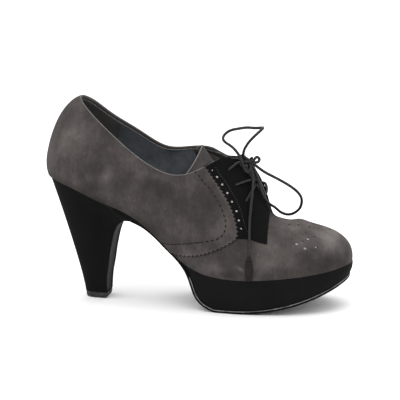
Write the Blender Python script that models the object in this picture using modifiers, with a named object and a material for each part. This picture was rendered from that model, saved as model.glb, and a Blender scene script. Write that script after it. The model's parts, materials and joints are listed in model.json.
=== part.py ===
"""Heeled lace-up platform shoe for the right foot, as an assembly of separate pieces.

Metres, +Z up. The toe points along +X and the outer, lateral side faces -Y. The sizes below
are millimetres in a design frame: x runs forward from the back of the heel, z is up from the
floor. place() moves them to the origin, which is on the floor under the middle of the shoe.
"""
import math

import bmesh
import bpy
import numpy as np
from mathutils import Vector

OBJECT_NAME = "heeled_lace_up_shoe"
MM = 0.001
ORIGIN = np.array((119.4, -0.7, 0.0))

# Thicknesses and clearances
WALL = 1.5
QUARTER_STEP = 1.4
CLEAR = 0.3
FACING_LIFT = 0.6
FACING = 0.8
TONGUE = 1.6
INSOLE = 2.5
OUTSOLE = 2.2
WAIST_SOLE = 0.9
LACE_RADIUS = 1.05
EYELET_RADIUS = 1.6
TIE_DIP = 4.6
TIE_SWING = 0.72
CROSS_SWING = 1.1
CROSS_DIP = 2.5
STRAND_STEP = 3.6
CORD_STEP = 3.4

# Sole and heel
FLAT_REAR_X = 138.0
FLAT_FRONT_X = 150.0
TOE_ROCKER = 172.0
SOLE_INSET = 1.8
SOLE_FLUSH = 0.4
SOLE_REAR_X = 126.0
SOLE_REAR_RUN = 14.0
WAIST_FRONT_X = 100.0
NOTCH_X = 64.0
NOTCH_WIDTH = 0.012
OUTSOLE_END_X = 65.6
SEAT_DROP = 3.24
HEEL_TIP = 4.6
HEEL_BASE_BACK_X = 29.6
HEEL_BASE_FRONT_X = 48.4
HEEL_BASE_HALF = 9.5
HEEL_SQUARENESS = 2.7
HEEL_FRONT_RIB = 12.1
HEEL_SEAT_GROW = 0.8
BREAST_HOLLOW = 1.2
# Heel's rings: share of its height, and shares of the breast's run out to the seat, forwards and sideways
HEEL_RINGS = ((0.0, 0.0, 0.0), (0.06, 0.0, 0.050), (0.12, 0.003, 0.098), (0.21, 0.016, 0.158),
              (0.32, 0.060, 0.205), (0.43, 0.103, 0.235), (0.53, 0.137, 0.254), (0.64, 0.187, 0.272),
              (0.74, 0.240, 0.298), (0.83, 0.310, 0.340), (0.90, 0.405, 0.430), (0.94, 0.500, 0.520),
              (0.97, 0.600, 0.610), (0.99, 0.750, 0.750), (1.0, 1.0, 1.0))
HEEL_BACK_CURL = 1.15
# Heel tip's rings: height and size against the heel's foot
TIP_RINGS = ((0.0, 0.86), (1.0, 0.94), (HEEL_TIP, 0.965))

# The upper is lofted through ribs from the feather line, where it meets the sole, to its top
# edge: the vamp's ridge, the throat, then the topline. Rows run from the toe to the heel's back.
RIB_COLUMNS = ("base_x", "base_lateral", "base_medial", "base_z", "low_x", "low_out", "low_z",
               "top_x", "top_mid", "top_half", "top_z", "medial_rise",
               "high_x", "high_out", "high_z")
RIBS = (
    (238.0, -2.0,  2.0, 35.2,  2.0, 0.0, 14.0, 206.0, 1.5,  0.0,  63.6,  0.0,  23.5,  0.0,  -3.0),
    (233.5, 14.0, 18.0, 34.6,  1.6, 1.2, 14.0, 203.5, 1.5,  0.0,  64.0,  0.0,  17.0, 10.0,  -2.4),
    (222.0, 26.5, 29.5, 32.6,  0.8, 2.0, 15.0, 199.5, 1.2,  0.0,  64.7,  0.0,  10.0, 17.0,  -1.3),
    (205.0, 35.5, 36.0, 30.3,  0.3, 2.6, 16.0, 194.0, 1.0,  0.0,  65.4,  0.0,   5.0, 22.0,  -0.6),
    (185.0, 40.2, 39.5, 28.2,  0.0, 3.0, 17.0, 186.5, 0.5,  0.0,  66.2,  0.0,   1.0, 25.0,  -0.3),
    (164.0, 41.2, 39.5, 26.6,  2.0, 3.0, 18.0, 176.5, 0.0,  1.5,  70.5,  0.8,  -3.0, 26.0,  -5.0),
    (148.0, 40.2, 37.3, 26.7,  4.0, 3.0, 19.0, 170.5, 0.0,  6.0,  82.0,  3.2,  -6.0, 24.0,  -9.0),
    (134.0, 38.2, 33.8, 28.2,  6.0, 3.0, 19.0, 162.5, 0.0,  7.0,  96.0,  5.5,  -9.0, 22.0, -10.0),
    (121.5, 35.6, 30.4, 32.0,  8.0, 3.0, 18.0, 151.5, 0.0,  7.5, 108.8,  2.5, -10.0, 20.0, -10.0),
    (110.5, 33.0, 27.7, 38.4,  9.0, 3.0, 17.0, 141.5, 0.0,  9.5, 114.2, -2.0, -10.0, 19.0, -12.0),
    (100.0, 30.9, 26.0, 48.0, 10.0, 3.0, 15.0, 131.0, -0.2, 21.2, 110.8, 3.6,  -9.0, 12.0, -16.0),
    (89.0,  29.2, 25.1, 58.0, 10.0, 3.5, 14.0, 119.0, -0.2, 29.8, 105.1, 10.9,  -8.0,  6.0, -14.0),
    (75.0,  28.2, 25.3, 68.5,  9.0, 4.0, 13.0, 104.0, -0.2, 32.8, 103.8, 10.9,  -9.0,  3.0, -12.0),
    (59.0,  27.9, 26.2, 76.5,  7.0, 4.5, 14.0,  86.0, 0.0, 33.0, 111.4,  4.1,  -9.0,  2.5, -13.0),
    (41.5,  26.8, 26.4, 83.2,  4.0, 5.0, 17.0,  66.0, 0.7, 29.8, 125.2,  2.2,  -9.0,  3.0, -15.0),
    (25.0,  23.0, 23.0, 89.9,  1.0, 5.0, 17.9,  47.0, 1.2, 22.8, 140.0,  0.3,  -9.0,  4.5, -14.0),
    (9.4,   14.1, 14.1, 94.6, -3.9, 4.1, 17.9,  34.0, 0.5, 12.5, 150.2,  2.4, -15.0,  3.4,  -9.0),
    (2.2,    0.0,  0.0, 96.8, -5.0, 0.0, 15.4,  27.4, 0.0,  0.0, 156.7,  0.0, -18.0,  0.0,  -6.0),
)
HEEL_RIB = len(RIBS) - 1
LOOP = 2 * HEEL_RIB
SLIT_RIB = 4.8
FEATHER_RISE = 0.12
UPPER_ROWS = 16
FRONT_COLUMNS = 20
QUARTER_COLUMNS = 17
HEEL_CROWDING = 0.2

# Front edge of the quarter and of the facing: how far up the rib, and which rib
QUARTER_EDGE = ((0.0, 9.65), (0.10, 8.80), (0.20, 7.80), (0.30, 7.03), (0.40, 6.50), (0.47, 6.35),
                (0.53, 6.55), (0.60, 7.00), (0.66, 7.72), (0.71, 8.55), (0.78, 9.25), (0.88, 9.80),
                (1.0, 10.30))
FACING_FRONT = ((0.50, 4.55), (0.72, 4.78), (0.90, 5.05), (1.0, 5.25))
FACING_FOOT = 0.5
FACING_BOW = 0.03
FACING_BACK_DROP = 0.06
QUARTER_RUN = 0.06
FACING_BACK_GAP = 0.06

# Eyelets, from the top: rib and how far up it
EYELETS = ((8.28, 0.875), (7.54, 0.818), (6.76, 0.790))

# Tongue: first and last rib, and how far down each rib its sides reach
TONGUE_SIDES = ((5.25, 0.90), (6.5, 0.84), (8.0, 0.80), (9.5, 0.84), (10.6, 0.92), (11.3, 0.97))
# How far it arches between the throat's edges at each rib, and how much further back it ends inside
TONGUE_BOW = ((5.25, 0.35), (7.0, 0.22), (9.0, 0.06), (10.0, 0.1), (10.5, 0.30), (11.0, 0.60), (11.3, 0.80))
TONGUE_SKEW = 0.1
# How far the tongue is pressed down in the throat: rib, across its whole width, on its medial half
TONGUE_SINK = ((5.25, 0.0, 0.0), (7.0, 0.5, 0.5), (8.5, 3.0, 3.0), (9.5, 4.5, 5.0), (10.0, 2.0, 7.0),
               (10.6, 0.0, 6.0), (11.3, 0.0, 2.0))

# Outsole's underside behind the tread: from the floor up the rear of the platform
SOLE_REAR = ((131.0, 2.4), (127.0, 4.8), (123.0, 8.95), (120.0, 15.1), (117.0, 24.0), (114.0, 30.4),
             (111.0, 35.1), (106.8, 39.9))
# Outsole's thickness along the shoe
SOLE_DEPTH = ((64.0, OUTSOLE), (70.0, OUTSOLE), (74.0, 2.1), (78.0, 1.8), (82.0, 1.4), (86.0, 1.1),
              (91.0, WAIST_SOLE), (105.0, WAIST_SOLE), (109.0, 1.1), (113.0, 1.6), (119.0, OUTSOLE),
              (240.0, OUTSOLE))

# Cord routes, knot outwards
KNOT_CENTRE = (160.4, -3.0, 110.9)
KNOT_RADII = (4.0, 3.7, 3.5)
LOOP_FRONT = ((165.2, -4.6, 107.2), (170.2, -5.0, 103.8), (176.8, -6.0, 100.6), (184.1, -6.5, 97.1),
              (191.2, -6.0, 92.9), (195.7, -4.0, 88.9), (198.1, -1.0, 84.9), (198.7, 2.0, 81.3),
              (198.3, 4.0, 77.9), (196.5, 7.0, 73.6), (193.4, 9.0, 70.4), (189.7, 10.0, 68.4),
              (185.8, 9.8, 68.3), (181.6, 7.0, 70.6), (178.8, 3.0, 74.2), (176.6, -2.0, 77.0),
              (174.2, -6.8, 80.0), (172.0, -10.2, 84.0), (170.0, -11.6, 88.6), (168.3, -10.8, 93.4),
              (166.6, -9.3, 98.0), (164.6, -7.6, 103.0))
LOOP_BACK = ((154.3, -3.8, 114.6), (155.0, -5.7, 118.9), (156.9, -7.7, 122.8), (159.4, -9.3, 126.5),
             (162.4, -10.8, 129.9), (165.9, -11.2, 133.4), (168.9, -8.5, 136.2), (169.3, -3.9, 137.0),
             (166.3, -0.2, 136.3), (161.6, 1.0, 135.9), (156.6, 1.5, 136.0), (152.0, 2.5, 135.3),
             (147.5, 3.8, 134.3), (143.0, 5.0, 132.9), (139.1, 3.9, 130.2), (138.1, 0.4, 127.1),
             (140.7, -3.0, 124.8), (144.6, -5.6, 123.0), (148.1, -7.8, 120.7), (151.2, -9.5, 117.5),
             (153.6, -10.8, 113.6), (155.5, -11.6, 109.3), (157.4, -12.0, 104.9))
LACE_END = ((161.2, -8.2, 106.4), (162.9, -10.8, 101.8), (163.5, -13.6, 97.6), (163.6, -16.3, 94.0),
            (163.5, -18.4, 90.6), (163.5, -20.4, 87.2), (163.3, -21.9, 83.8), (163.2, -23.4, 80.2),
            (163.1, -25.4, 76.0), (163.1, -28.8, 69.6), (163.4, -32.0, 63.8), (163.9, -35.8, 57.8),
            (164.4, -40.0, 52.6), (164.9, -43.6, 48.6), (165.1, -45.2, 46.2))
BARREL_BASE = (165.1, -45.4, 27.6)
BARREL_PROFILE = ((0.0, 17.9), (1.5, 17.9), (2.1, 17.2), (2.6, 15.6), (2.35, 15.2), (2.7, 14.8),
                  (3.15, 11.0), (3.2, 8.2), (2.9, 7.8), (3.2, 7.4), (3.0, 3.6), (2.5, 0.8),
                  (1.7, 0.0), (0.0, 0.0))

# Base colour (linear), roughness
GREY_SUEDE = ((0.105, 0.093, 0.090), 0.95)
BLACK_SUEDE = ((0.010, 0.010, 0.011), 0.92)
LINING = ((0.047, 0.051, 0.055), 0.60)
SOLE_BLACK = ((0.012, 0.012, 0.013), 0.45)
LACE_BLACK = ((0.013, 0.012, 0.013), 0.55)
BARREL_BROWN = ((0.022, 0.017, 0.016), 0.50)


def closed_spline(values):
    """Knot values and bending terms of a closed cubic spline with unit knot spacing."""
    count = len(values)
    ahead = np.roll(np.eye(count), 1, axis=1)
    matrix = 4 * np.eye(count) + ahead + ahead.T
    bend = 6 * (np.roll(values, -1) - 2 * values + np.roll(values, 1))
    return values, np.linalg.solve(matrix, bend)


def natural_spline(knots, values, at):
    """Natural cubic spline through values at the knots, read at the places at."""
    knots = np.asarray(knots, float)
    values = np.asarray(values, float)
    gaps = np.diff(knots)
    matrix = np.eye(len(knots))
    bend = np.zeros_like(values)
    slopes = np.diff(values, axis=0) / gaps.reshape((-1,) + (1,) * (values.ndim - 1))
    for i in range(1, len(knots) - 1):
        matrix[i, i - 1:i + 2] = gaps[i - 1], 2 * (gaps[i - 1] + gaps[i]), gaps[i]
        bend[i] = 6 * (slopes[i] - slopes[i - 1])
    bend = np.linalg.solve(matrix, bend)
    at = np.clip(np.asarray(at, float), knots[0], knots[-1])
    i = np.clip(np.searchsorted(knots, at, side="right") - 1, 0, len(knots) - 2)
    gap = gaps[i]
    ahead = (at - knots[i]) / gap
    behind = 1 - ahead
    pull = gap * gap / 6
    if values.ndim > 1:
        ahead, behind, pull = ahead[..., None], behind[..., None], pull[..., None]
    straight = behind * values[i] + ahead * values[i + 1]
    return straight + pull * ((behind**3 - behind) * bend[i] + (ahead**3 - ahead) * bend[i + 1])


def table_curve(rows, at):
    """Second column of a two-column table as a smooth function of the first."""
    return natural_spline([row[0] for row in rows], [row[1] for row in rows], at)


def smooth_route(points, spacing):
    """Evenly spaced points on a smooth curve through the route's own points."""
    points = np.asarray(points, float)
    chords = np.linalg.norm(np.diff(points, axis=0), axis=1)
    knots = np.concatenate([[0.0], np.cumsum(np.sqrt(chords))])
    dense = natural_spline(knots, points, np.linspace(0, knots[-1], 60 * len(points)))
    return even_points(dense, spacing)


def even_points(dense, spacing):
    """Points a fixed distance apart along a dense polyline, with both of its ends."""
    run = np.concatenate([[0.0], np.cumsum(np.linalg.norm(np.diff(dense, axis=0), axis=1))])
    count = max(3, int(round(run[-1] / spacing)) + 1)
    at = np.linspace(0, run[-1], count)
    return np.stack([np.interp(at, run, dense[:, i]) for i in range(dense.shape[1])], axis=1)


def rib_splines():
    """Closed splines of each rib column: the lateral rows to the heel, then the medial rows back."""
    table = {name: np.array([row[i] for row in RIBS]) for i, name in enumerate(RIB_COLUMNS)}

    def both(lateral, medial):
        return closed_spline(np.concatenate([lateral, medial[1:-1][::-1]]))

    splines = {name: both(table[name], table[name])
               for name in ("base_x", "base_z", "low_x", "low_z", "top_x", "top_mid", "high_x", "high_z")}
    splines["base_y"] = both(-table["base_lateral"], table["base_medial"])
    splines["low_y"] = both(-table["low_out"], table["low_out"])
    splines["top_half"] = both(-table["top_half"], table["top_half"])
    splines["high_y"] = both(-table["high_out"], table["high_out"])
    splines["top_z"] = both(table["top_z"], table["top_z"] + table["medial_rise"])
    return splines


SPLINES = rib_splines()


def column(name, rib):
    """One rib column read at any place round the shoe."""
    values, bend = SPLINES[name]
    i = np.floor(rib).astype(int) % LOOP
    j = (i + 1) % LOOP
    ahead = rib - np.floor(rib)
    behind = 1 - ahead
    straight = behind * values[i] + ahead * values[j]
    return straight + ((behind**3 - behind) * bend[i] + (ahead**3 - ahead) * bend[j]) / 6


def rib_point(rib, rise):
    """Point on the upper's outer face: rib 0 is the toe, 17 the heel's back, 34 the toe again."""
    rib, rise = np.broadcast_arrays(np.asarray(rib, float), np.asarray(rise, float))
    closed = np.minimum(rib % LOOP, LOOP - rib % LOOP) < SLIT_RIB
    half = np.where(closed, 0.0, column("top_half", rib))
    base = np.stack([column("base_x", rib), column("base_y", rib), column("base_z", rib)], axis=-1)
    top = np.stack([column("top_x", rib), column("top_mid", rib) + half, column("top_z", rib)], axis=-1)
    low = base + np.stack([column("low_x", rib), column("low_y", rib), column("low_z", rib)], axis=-1)
    high = top + np.stack([column("high_x", rib), column("high_y", rib), column("high_z", rib)], axis=-1)
    up = rise[..., None]
    down = 1 - up
    return down**3 * base + 3 * down**2 * up * low + 3 * down * up**2 * high + up**3 * top


def unit(vectors):
    return vectors / np.linalg.norm(vectors, axis=-1, keepdims=True)


def surface(rib, rise, lift):
    """Point a distance lift outside the upper's face; level at the feather line."""
    rib, rise = np.broadcast_arrays(np.asarray(rib, float), np.asarray(rise, float))
    small = 0.004
    along = rib_point(rib + small, rise) - rib_point(rib - small, rise)
    above = np.minimum(rise + small, 1.0)
    below = np.maximum(rise - small, 0.0)
    outward = unit(np.cross(rib_point(rib, above) - rib_point(rib, below), along))
    outward[..., 2] *= np.clip(rise / FEATHER_RISE, 0, 1)
    return rib_point(rib, rise) + np.asarray(lift)[..., None] * unit(outward)


def across(rib, way, bow=1.0):
    """Point on a line over the instep: 0 to 1 up the lateral rib, to 2 over the throat, to 3 down.

    Over the throat it arches by its bow: 1 leaves the ribs smoothly, 0 is straight.
    """
    rib, way = np.broadcast_arrays(np.asarray(rib, float), np.asarray(way, float))
    small = 0.02
    left = rib_point(rib, 1.0)
    right = rib_point(LOOP - rib, 1.0)
    reach = np.linalg.norm(right - left, axis=-1, keepdims=True) * np.asarray(bow)[..., None]
    leave = reach * unit(left - rib_point(rib, 1 - small))
    arrive = reach * unit(rib_point(LOOP - rib, 1 - small) - right)
    s = np.clip(way - 1, 0, 1)[..., None]
    bridge = ((1 + 2 * s) * (1 - s)**2 * left + s * (1 - s)**2 * leave
              + s * s * (3 - 2 * s) * right + s * s * (s - 1) * arrive)
    lateral = rib_point(rib, np.clip(way, 0, 1))
    medial = rib_point(LOOP - rib, np.clip(3 - way, 0, 1))
    side = way[..., None]
    return np.where(side < 1, lateral, np.where(side > 2, medial, bridge))


def over_instep(rib, way, lift, bow=1.0):
    """Point a distance lift outside the line over the instep."""
    small = 0.01
    sideways = across(rib, way + small) - across(rib, way - small)
    backwards = across(rib + small, way) - across(rib - small, way)
    return across(rib, way, bow) + lift * unit(np.cross(sideways, backwards))


def feather(x):
    """Height of the line where the upper meets the sole."""
    rib = np.linspace(0, HEEL_RIB, 600)
    return np.interp(x, column("base_x", rib)[::-1], column("base_z", rib)[::-1])


def outline(x, grow):
    """Lateral and medial edge of the sole at each x, grown outwards."""
    rib = np.linspace(0, LOOP, 1601)
    plan = np.stack([column("base_x", rib), column("base_y", rib)], axis=1)
    run = np.gradient(plan, axis=0)
    edge = plan + grow * unit(np.stack([-run[:, 1], run[:, 0]], axis=1))
    half = len(rib) // 2
    lateral = np.interp(x, edge[half::-1, 0], edge[half::-1, 1])
    medial = np.interp(x, edge[half:, 0], edge[half:, 1])
    return lateral, medial


def toe_tip(grow):
    """Foremost x of the grown outline, less a little so that the end keeps some width."""
    return column("base_x", np.array(0.0)) + grow - 0.05


def stations(curve, tip, count):
    """Points of a dense side profile behind the toe tip, crowded towards its two ends."""
    kept = curve[curve[:, 0] <= tip]
    return kept[np.round(crowded(0, len(kept) - 1, count)).astype(int)]


def place(points):
    """Design millimetres to world metres."""
    return (np.asarray(points, float) - ORIGIN) * MM


def clear_scene():
    for obj in list(bpy.data.objects):
        bpy.data.objects.remove(obj, do_unlink=True)


def new_collection(name):
    made = bpy.data.collections.new(name)
    bpy.context.scene.collection.children.link(made)
    return made


def new_material(name, finish):
    colour, roughness = finish
    made = bpy.data.materials.new(name)
    made.use_nodes = True
    shader = made.node_tree.nodes["Principled BSDF"]
    shader.inputs["Base Color"].default_value = (*colour, 1.0)
    shader.inputs["Roughness"].default_value = roughness
    shader.inputs["Metallic"].default_value = 0.0
    return made


def mesh_object(name, points, faces, finish, collection):
    """A closed mesh object from points in design millimetres."""
    mesh = bpy.data.meshes.new(name)
    mesh.from_pydata([tuple(p) for p in place(points)], [], faces)
    build = bmesh.new()
    build.from_mesh(mesh)
    bmesh.ops.recalc_face_normals(build, faces=build.faces)
    build.to_mesh(mesh)
    build.free()
    mesh.shade_smooth()
    mesh.set_sharp_from_angle(angle=math.radians(35))
    mesh.materials.append(new_material(name, finish))
    made = bpy.data.objects.new(name, mesh)
    collection.objects.link(made)
    return made


def plate(name, outer, inner, finish, collection):
    """A thin closed solid between two grids of points of the same rows and columns."""
    rows, cols = outer.shape[:2]
    points = np.concatenate([outer.reshape(-1, 3), inner.reshape(-1, 3)])
    under = rows * cols
    faces = []
    for i in range(rows - 1):
        for j in range(cols - 1):
            a, b, c, d = i * cols + j, i * cols + j + 1, (i + 1) * cols + j + 1, (i + 1) * cols + j
            faces.append((a, b, c, d))
            faces.append((under + d, under + c, under + b, under + a))
    rim = [j for j in range(cols)]
    rim += [i * cols + cols - 1 for i in range(1, rows)]
    rim += [(rows - 1) * cols + j for j in range(cols - 2, -1, -1)]
    rim += [i * cols for i in range(rows - 2, 0, -1)]
    for here, there in zip(rim, rim[1:] + rim[:1]):
        faces.append((there, here, under + here, under + there))
    return mesh_object(name, points, faces, finish, collection)


def slab(name, lower, higher, low_edges, high_edges, finish, collection):
    """A solid between two side profiles, as wide at each station as its lateral and medial edges."""
    count = len(lower)
    corners = np.zeros((count, 4, 3))
    corners[:, 0] = np.stack([lower[:, 0], low_edges[0], lower[:, 1]], axis=1)
    corners[:, 1] = np.stack([lower[:, 0], low_edges[1], lower[:, 1]], axis=1)
    corners[:, 2] = np.stack([higher[:, 0], high_edges[1], higher[:, 1]], axis=1)
    corners[:, 3] = np.stack([higher[:, 0], high_edges[0], higher[:, 1]], axis=1)
    faces = [(0, 1, 2, 3), tuple(4 * (count - 1) + i for i in (3, 2, 1, 0))]
    for i in range(count - 1):
        for j in range(4):
            k = (j + 1) % 4
            faces.append((4 * i + j, 4 * i + k, 4 * (i + 1) + k, 4 * (i + 1) + j))
    return mesh_object(name, corners.reshape(-1, 3), faces, finish, collection)


def crowded(start, end, count):
    """Places from start to end that crowd towards both ends."""
    return (start + end) / 2 - (end - start) / 2 * np.cos(np.linspace(0, math.pi, count))


def make_upper(collection):
    """The hollow upper: columns follow the quarter's edge, where the wall steps up."""
    rows = UPPER_ROWS
    rise = np.linspace(0, 1, rows + 1)
    edge = table_curve(QUARTER_EDGE, rise)
    ribs = [edge * u for u in np.linspace(0, 1, FRONT_COLUMNS)]
    start = edge + QUARTER_RUN
    shares = [v * (1 + HEEL_CROWDING * (1 - v)) for v in np.linspace(0, 1, QUARTER_COLUMNS)]
    ribs += [start + (HEEL_RIB - start) * share for share in shares]
    lifts = [0.0] * FRONT_COLUMNS + [QUARTER_STEP] * QUARTER_COLUMNS
    ribs += [LOOP - rib for rib in ribs[-2:0:-1]]
    lifts += lifts[-2:0:-1]
    ribs = np.array(ribs)
    count = len(ribs)
    outer = surface(ribs, rise, np.array(lifts)[:, None] + 0 * ribs)
    inner = surface(ribs, rise, -WALL + 0 * ribs)
    names = np.arange(count * (rows + 1)).reshape(count, rows + 1)
    joined = [i for i in range(count // 2) if ribs[i, -1] < SLIT_RIB]
    for i in joined[1:]:
        for grid in (outer, inner):
            grid[i, -1] = (grid[i, -1] + grid[count - i, -1]) / 2
        names[count - i, -1] = names[i, -1]
    ridge = set(names[joined, -1])
    under = names.size
    faces = []
    for i in range(count):
        j = (i + 1) % count
        for k in range(rows):
            quad = (names[i, k], names[j, k], names[j, k + 1], names[i, k + 1])
            if i < count // 2:
                quad = quad[1:] + quad[:1]
            faces.append(quad)
            faces.append(tuple(under + n for n in reversed(quad)))
        faces.append((names[j, 0], names[i, 0], under + names[i, 0], under + names[j, 0]))
        if not (names[i, -1] in ridge and names[j, -1] in ridge):
            faces.append((names[i, -1], names[j, -1], under + names[j, -1], under + names[i, -1]))
    points = np.concatenate([outer.reshape(-1, 3), inner.reshape(-1, 3)])
    used = sorted({n for face in faces for n in face})
    renamed = {n: i for i, n in enumerate(used)}
    faces = [tuple(renamed[n] for n in face) for face in faces]
    return mesh_object("upper", points[used], faces, GREY_SUEDE, collection)


def make_facing(name, medial, collection):
    """An eyelet facing over the instep, from the throat back to the quarter's edge."""
    across_steps, up_steps = np.meshgrid(np.linspace(0, 1, 13), np.linspace(0, 1, UPPER_ROWS // 2 + 1))
    back_drop = 0.0 if medial else FACING_BACK_DROP
    foot = FACING_FOOT + FACING_BOW * np.sin(math.pi * across_steps) - back_drop * across_steps**2
    rise = foot + (1 - foot) * up_steps
    front = table_curve(FACING_FRONT, rise)
    back = table_curve(QUARTER_EDGE, rise) - FACING_BACK_GAP
    rib = front + (back - front) * across_steps
    if medial:
        rib = LOOP - rib
    outer = surface(rib, rise, FACING_LIFT + FACING + 0 * rib)
    inner = surface(rib, rise, FACING_LIFT + 0 * rib)
    return plate(name, outer, inner, BLACK_SUEDE, collection)


def make_tongue(collection):
    """The tongue follows the inside of the instep and bridges the throat."""
    sides = np.array(TONGUE_SIDES)
    rib = np.linspace(sides[0, 0], sides[-1, 0], 20)
    reach = np.interp(rib, sides[:, 0], sides[:, 1])
    part = np.linspace(0, 1, 4)
    ways = [np.concatenate([r + (1 - r) * part, 1 + np.linspace(0, 1, 9)[1:-1], 2 + (1 - r) * part])
            for r in reach]
    ways = np.array(ways)
    late = np.clip((rib - sides[-2, 0]) / (sides[-1, 0] - sides[-2, 0]), 0, 1)
    inside = np.clip(ways - 1, 0, 1)
    skew = TONGUE_SKEW * late[:, None] * inside * inside * (3 - 2 * inside)
    bow = table_curve(TONGUE_BOW, rib)[:, None] + 0 * ways
    sink = np.array(TONGUE_SINK)
    whole = table_curve(sink[:, (0, 1)], rib)[:, None]
    medial = table_curve(sink[:, (0, 2)], rib)[:, None]
    beyond = np.clip((inside - 0.55) / 0.4, 0, 1)
    sunk = whole * np.sin(math.pi * inside) + medial * beyond * beyond * (3 - 2 * beyond)
    depth = (WALL + FACING_LIFT + sunk)[..., None]
    rib = rib[:, None] + skew
    outer = over_instep(rib, ways, -depth, bow)
    inner = over_instep(rib, ways, -depth - TONGUE, bow)
    tongue = plate("tongue", outer, inner, GREY_SUEDE, collection)
    tongue.modifiers.new("triangles", "TRIANGULATE")
    return tongue


def offset_curve(curve, distance):
    """A side profile moved towards its left, which is up where it runs from toe to heel backwards."""
    run = unit(np.gradient(curve, axis=0))
    return curve + np.reshape(distance, (-1, 1)) * np.stack([run[:, 1], -run[:, 0]], axis=1)


def sole_depth(x):
    """Thickness of the outsole at each x."""
    return np.interp(x, [row[0] for row in SOLE_DEPTH], [row[1] for row in SOLE_DEPTH])


def sole_profile():
    """Underside of the outsole from the toe to the heel, as a dense side profile."""
    reach = toe_tip(0.0) - FLAT_FRONT_X
    swing = np.linspace(math.asin(reach / TOE_ROCKER), 0, 400)
    rocker = np.stack([FLAT_FRONT_X + TOE_ROCKER * np.sin(swing), TOE_ROCKER * (1 - np.cos(swing))], axis=1)
    waist_x = np.linspace(WAIST_FRONT_X, OUTSOLE_END_X, 6)
    waist = offset_curve(np.stack([waist_x, feather(waist_x)], axis=1), -(CLEAR + sole_depth(waist_x)))
    bend = np.concatenate([[(FLAT_REAR_X + 5, 0.0), (FLAT_REAR_X, 0.0)], SOLE_REAR, waist])
    rear = smooth_route(bend, 0.4)
    rear[:, 1] = np.maximum(rear[:, 1], 0)
    return np.concatenate([rocker[:-1], rear])


def sole_edges(x):
    """Edges of the outsole: inside the platform's foot, flush with the upper along the waist."""
    rear = np.clip((SOLE_REAR_X - x) / SOLE_REAR_RUN, 0, 1)
    rear = rear * rear * (3 - 2 * rear)
    inset, flush = outline(x, -SOLE_INSET), outline(x, SOLE_FLUSH)
    return [a + (b - a) * rear for a, b in zip(inset, flush)]


def make_outsole(profile, collection):
    tip = toe_tip(-SOLE_INSET)
    lower = stations(profile, tip, 60)
    higher = stations(offset_curve(profile, sole_depth(profile[:, 0])), tip, 60)
    return slab("outsole", lower, higher, sole_edges(lower[:, 0]), sole_edges(higher[:, 0]),
                SOLE_BLACK, collection)


def make_platform(profile, collection):
    """The covered block between the outsole and the forefoot."""
    count = 44
    lower = offset_curve(profile, sole_depth(profile[:, 0]) + CLEAR)
    room = feather(lower[:, 0]) - CLEAR - lower[:, 1]
    lower = lower[:np.argmax((room < 1.0) & (lower[:, 0] < FLAT_REAR_X))]
    lower = stations(lower, toe_tip(-SOLE_INSET), count)
    top_x = crowded(toe_tip(SOLE_FLUSH), lower[-1, 0], count)
    higher = np.stack([top_x, feather(top_x) - CLEAR], axis=1)
    return slab("platform", lower, higher, sole_edges(lower[:, 0]), outline(top_x, SOLE_FLUSH),
                BLACK_SUEDE, collection)


def make_insole(collection):
    inset = WALL + 2 * CLEAR
    x = crowded(column("base_x", np.array(HEEL_RIB)) + inset + 0.05, toe_tip(-inset), 44)
    edges = outline(x, -inset)
    lower = np.stack([x, feather(x) + CLEAR / 2], axis=1)
    higher = lower + np.array((0.0, INSOLE))
    return slab("insole", lower, higher, edges, edges, LINING, collection)


def heel_ring(turn):
    """Foot of the heel: a D with a rounded back, its place given by turn from front corner to back."""
    power = 2 / HEEL_SQUARENESS
    angle = turn * math.pi / 2
    depth = HEEL_BASE_FRONT_X - HEEL_BASE_BACK_X
    x = HEEL_BASE_FRONT_X - depth * np.sin(angle)**power
    return x, HEEL_BASE_HALF * np.abs(np.cos(angle))**power


def make_heel(collection):
    """The tapered heel, flared at its seat, with a notch where the outsole ends."""
    all_ribs = np.linspace(0, HEEL_RIB, 600)
    notch = np.interp(NOTCH_X, column("base_x", all_ribs)[::-1], all_ribs[::-1])
    notch = (notch - HEEL_FRONT_RIB) / (HEEL_RIB - HEEL_FRONT_RIB)
    step = (notch - NOTCH_WIDTH / 2, notch + NOTCH_WIDTH / 2)
    turn = np.sort(np.concatenate([np.linspace(0, 1, 12), step]))
    rib = HEEL_FRONT_RIB + (HEEL_RIB - HEEL_FRONT_RIB) * turn
    foot_x, foot_half = heel_ring(turn)
    seat_x = column("base_x", rib)
    under_sole = np.where(turn < notch, SEAT_DROP, 0.0)
    seat_z = feather(seat_x) - CLEAR - under_sole
    foot_z = HEEL_TIP + CLEAR
    lateral, medial = outline(seat_x, HEEL_SEAT_GROW)
    level = np.array(HEEL_RINGS)[:, :1]
    forwards = np.array(HEEL_RINGS)[:, 1:2]
    sideways = np.array(HEEL_RINGS)[:, 2:]
    back = level**HEEL_BACK_CURL
    share = np.sin(turn * math.pi / 2)**2
    flare = sideways + (back - sideways) * share
    x = foot_x + (seat_x - foot_x) * (forwards + (back - forwards) * share)
    z = foot_z + (seat_z - foot_z) * level
    near = np.stack([x, -foot_half + (lateral + foot_half) * flare, z], axis=-1)
    far = np.stack([x, foot_half + (medial - foot_half) * flare, z], axis=-1)
    part = np.array((0.25, 0.5, 0.75))
    breast = far[:, :1] + (near[:, :1] - far[:, :1]) * part[:, None]
    breast[..., 0] -= BREAST_HOLLOW * np.sin(math.pi * part) * (1 - level**6)
    ring = np.concatenate([near[:, :-1], far[:, ::-1], breast], axis=1)
    return loft("heel", ring, len(turn), BLACK_SUEDE, collection)


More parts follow.
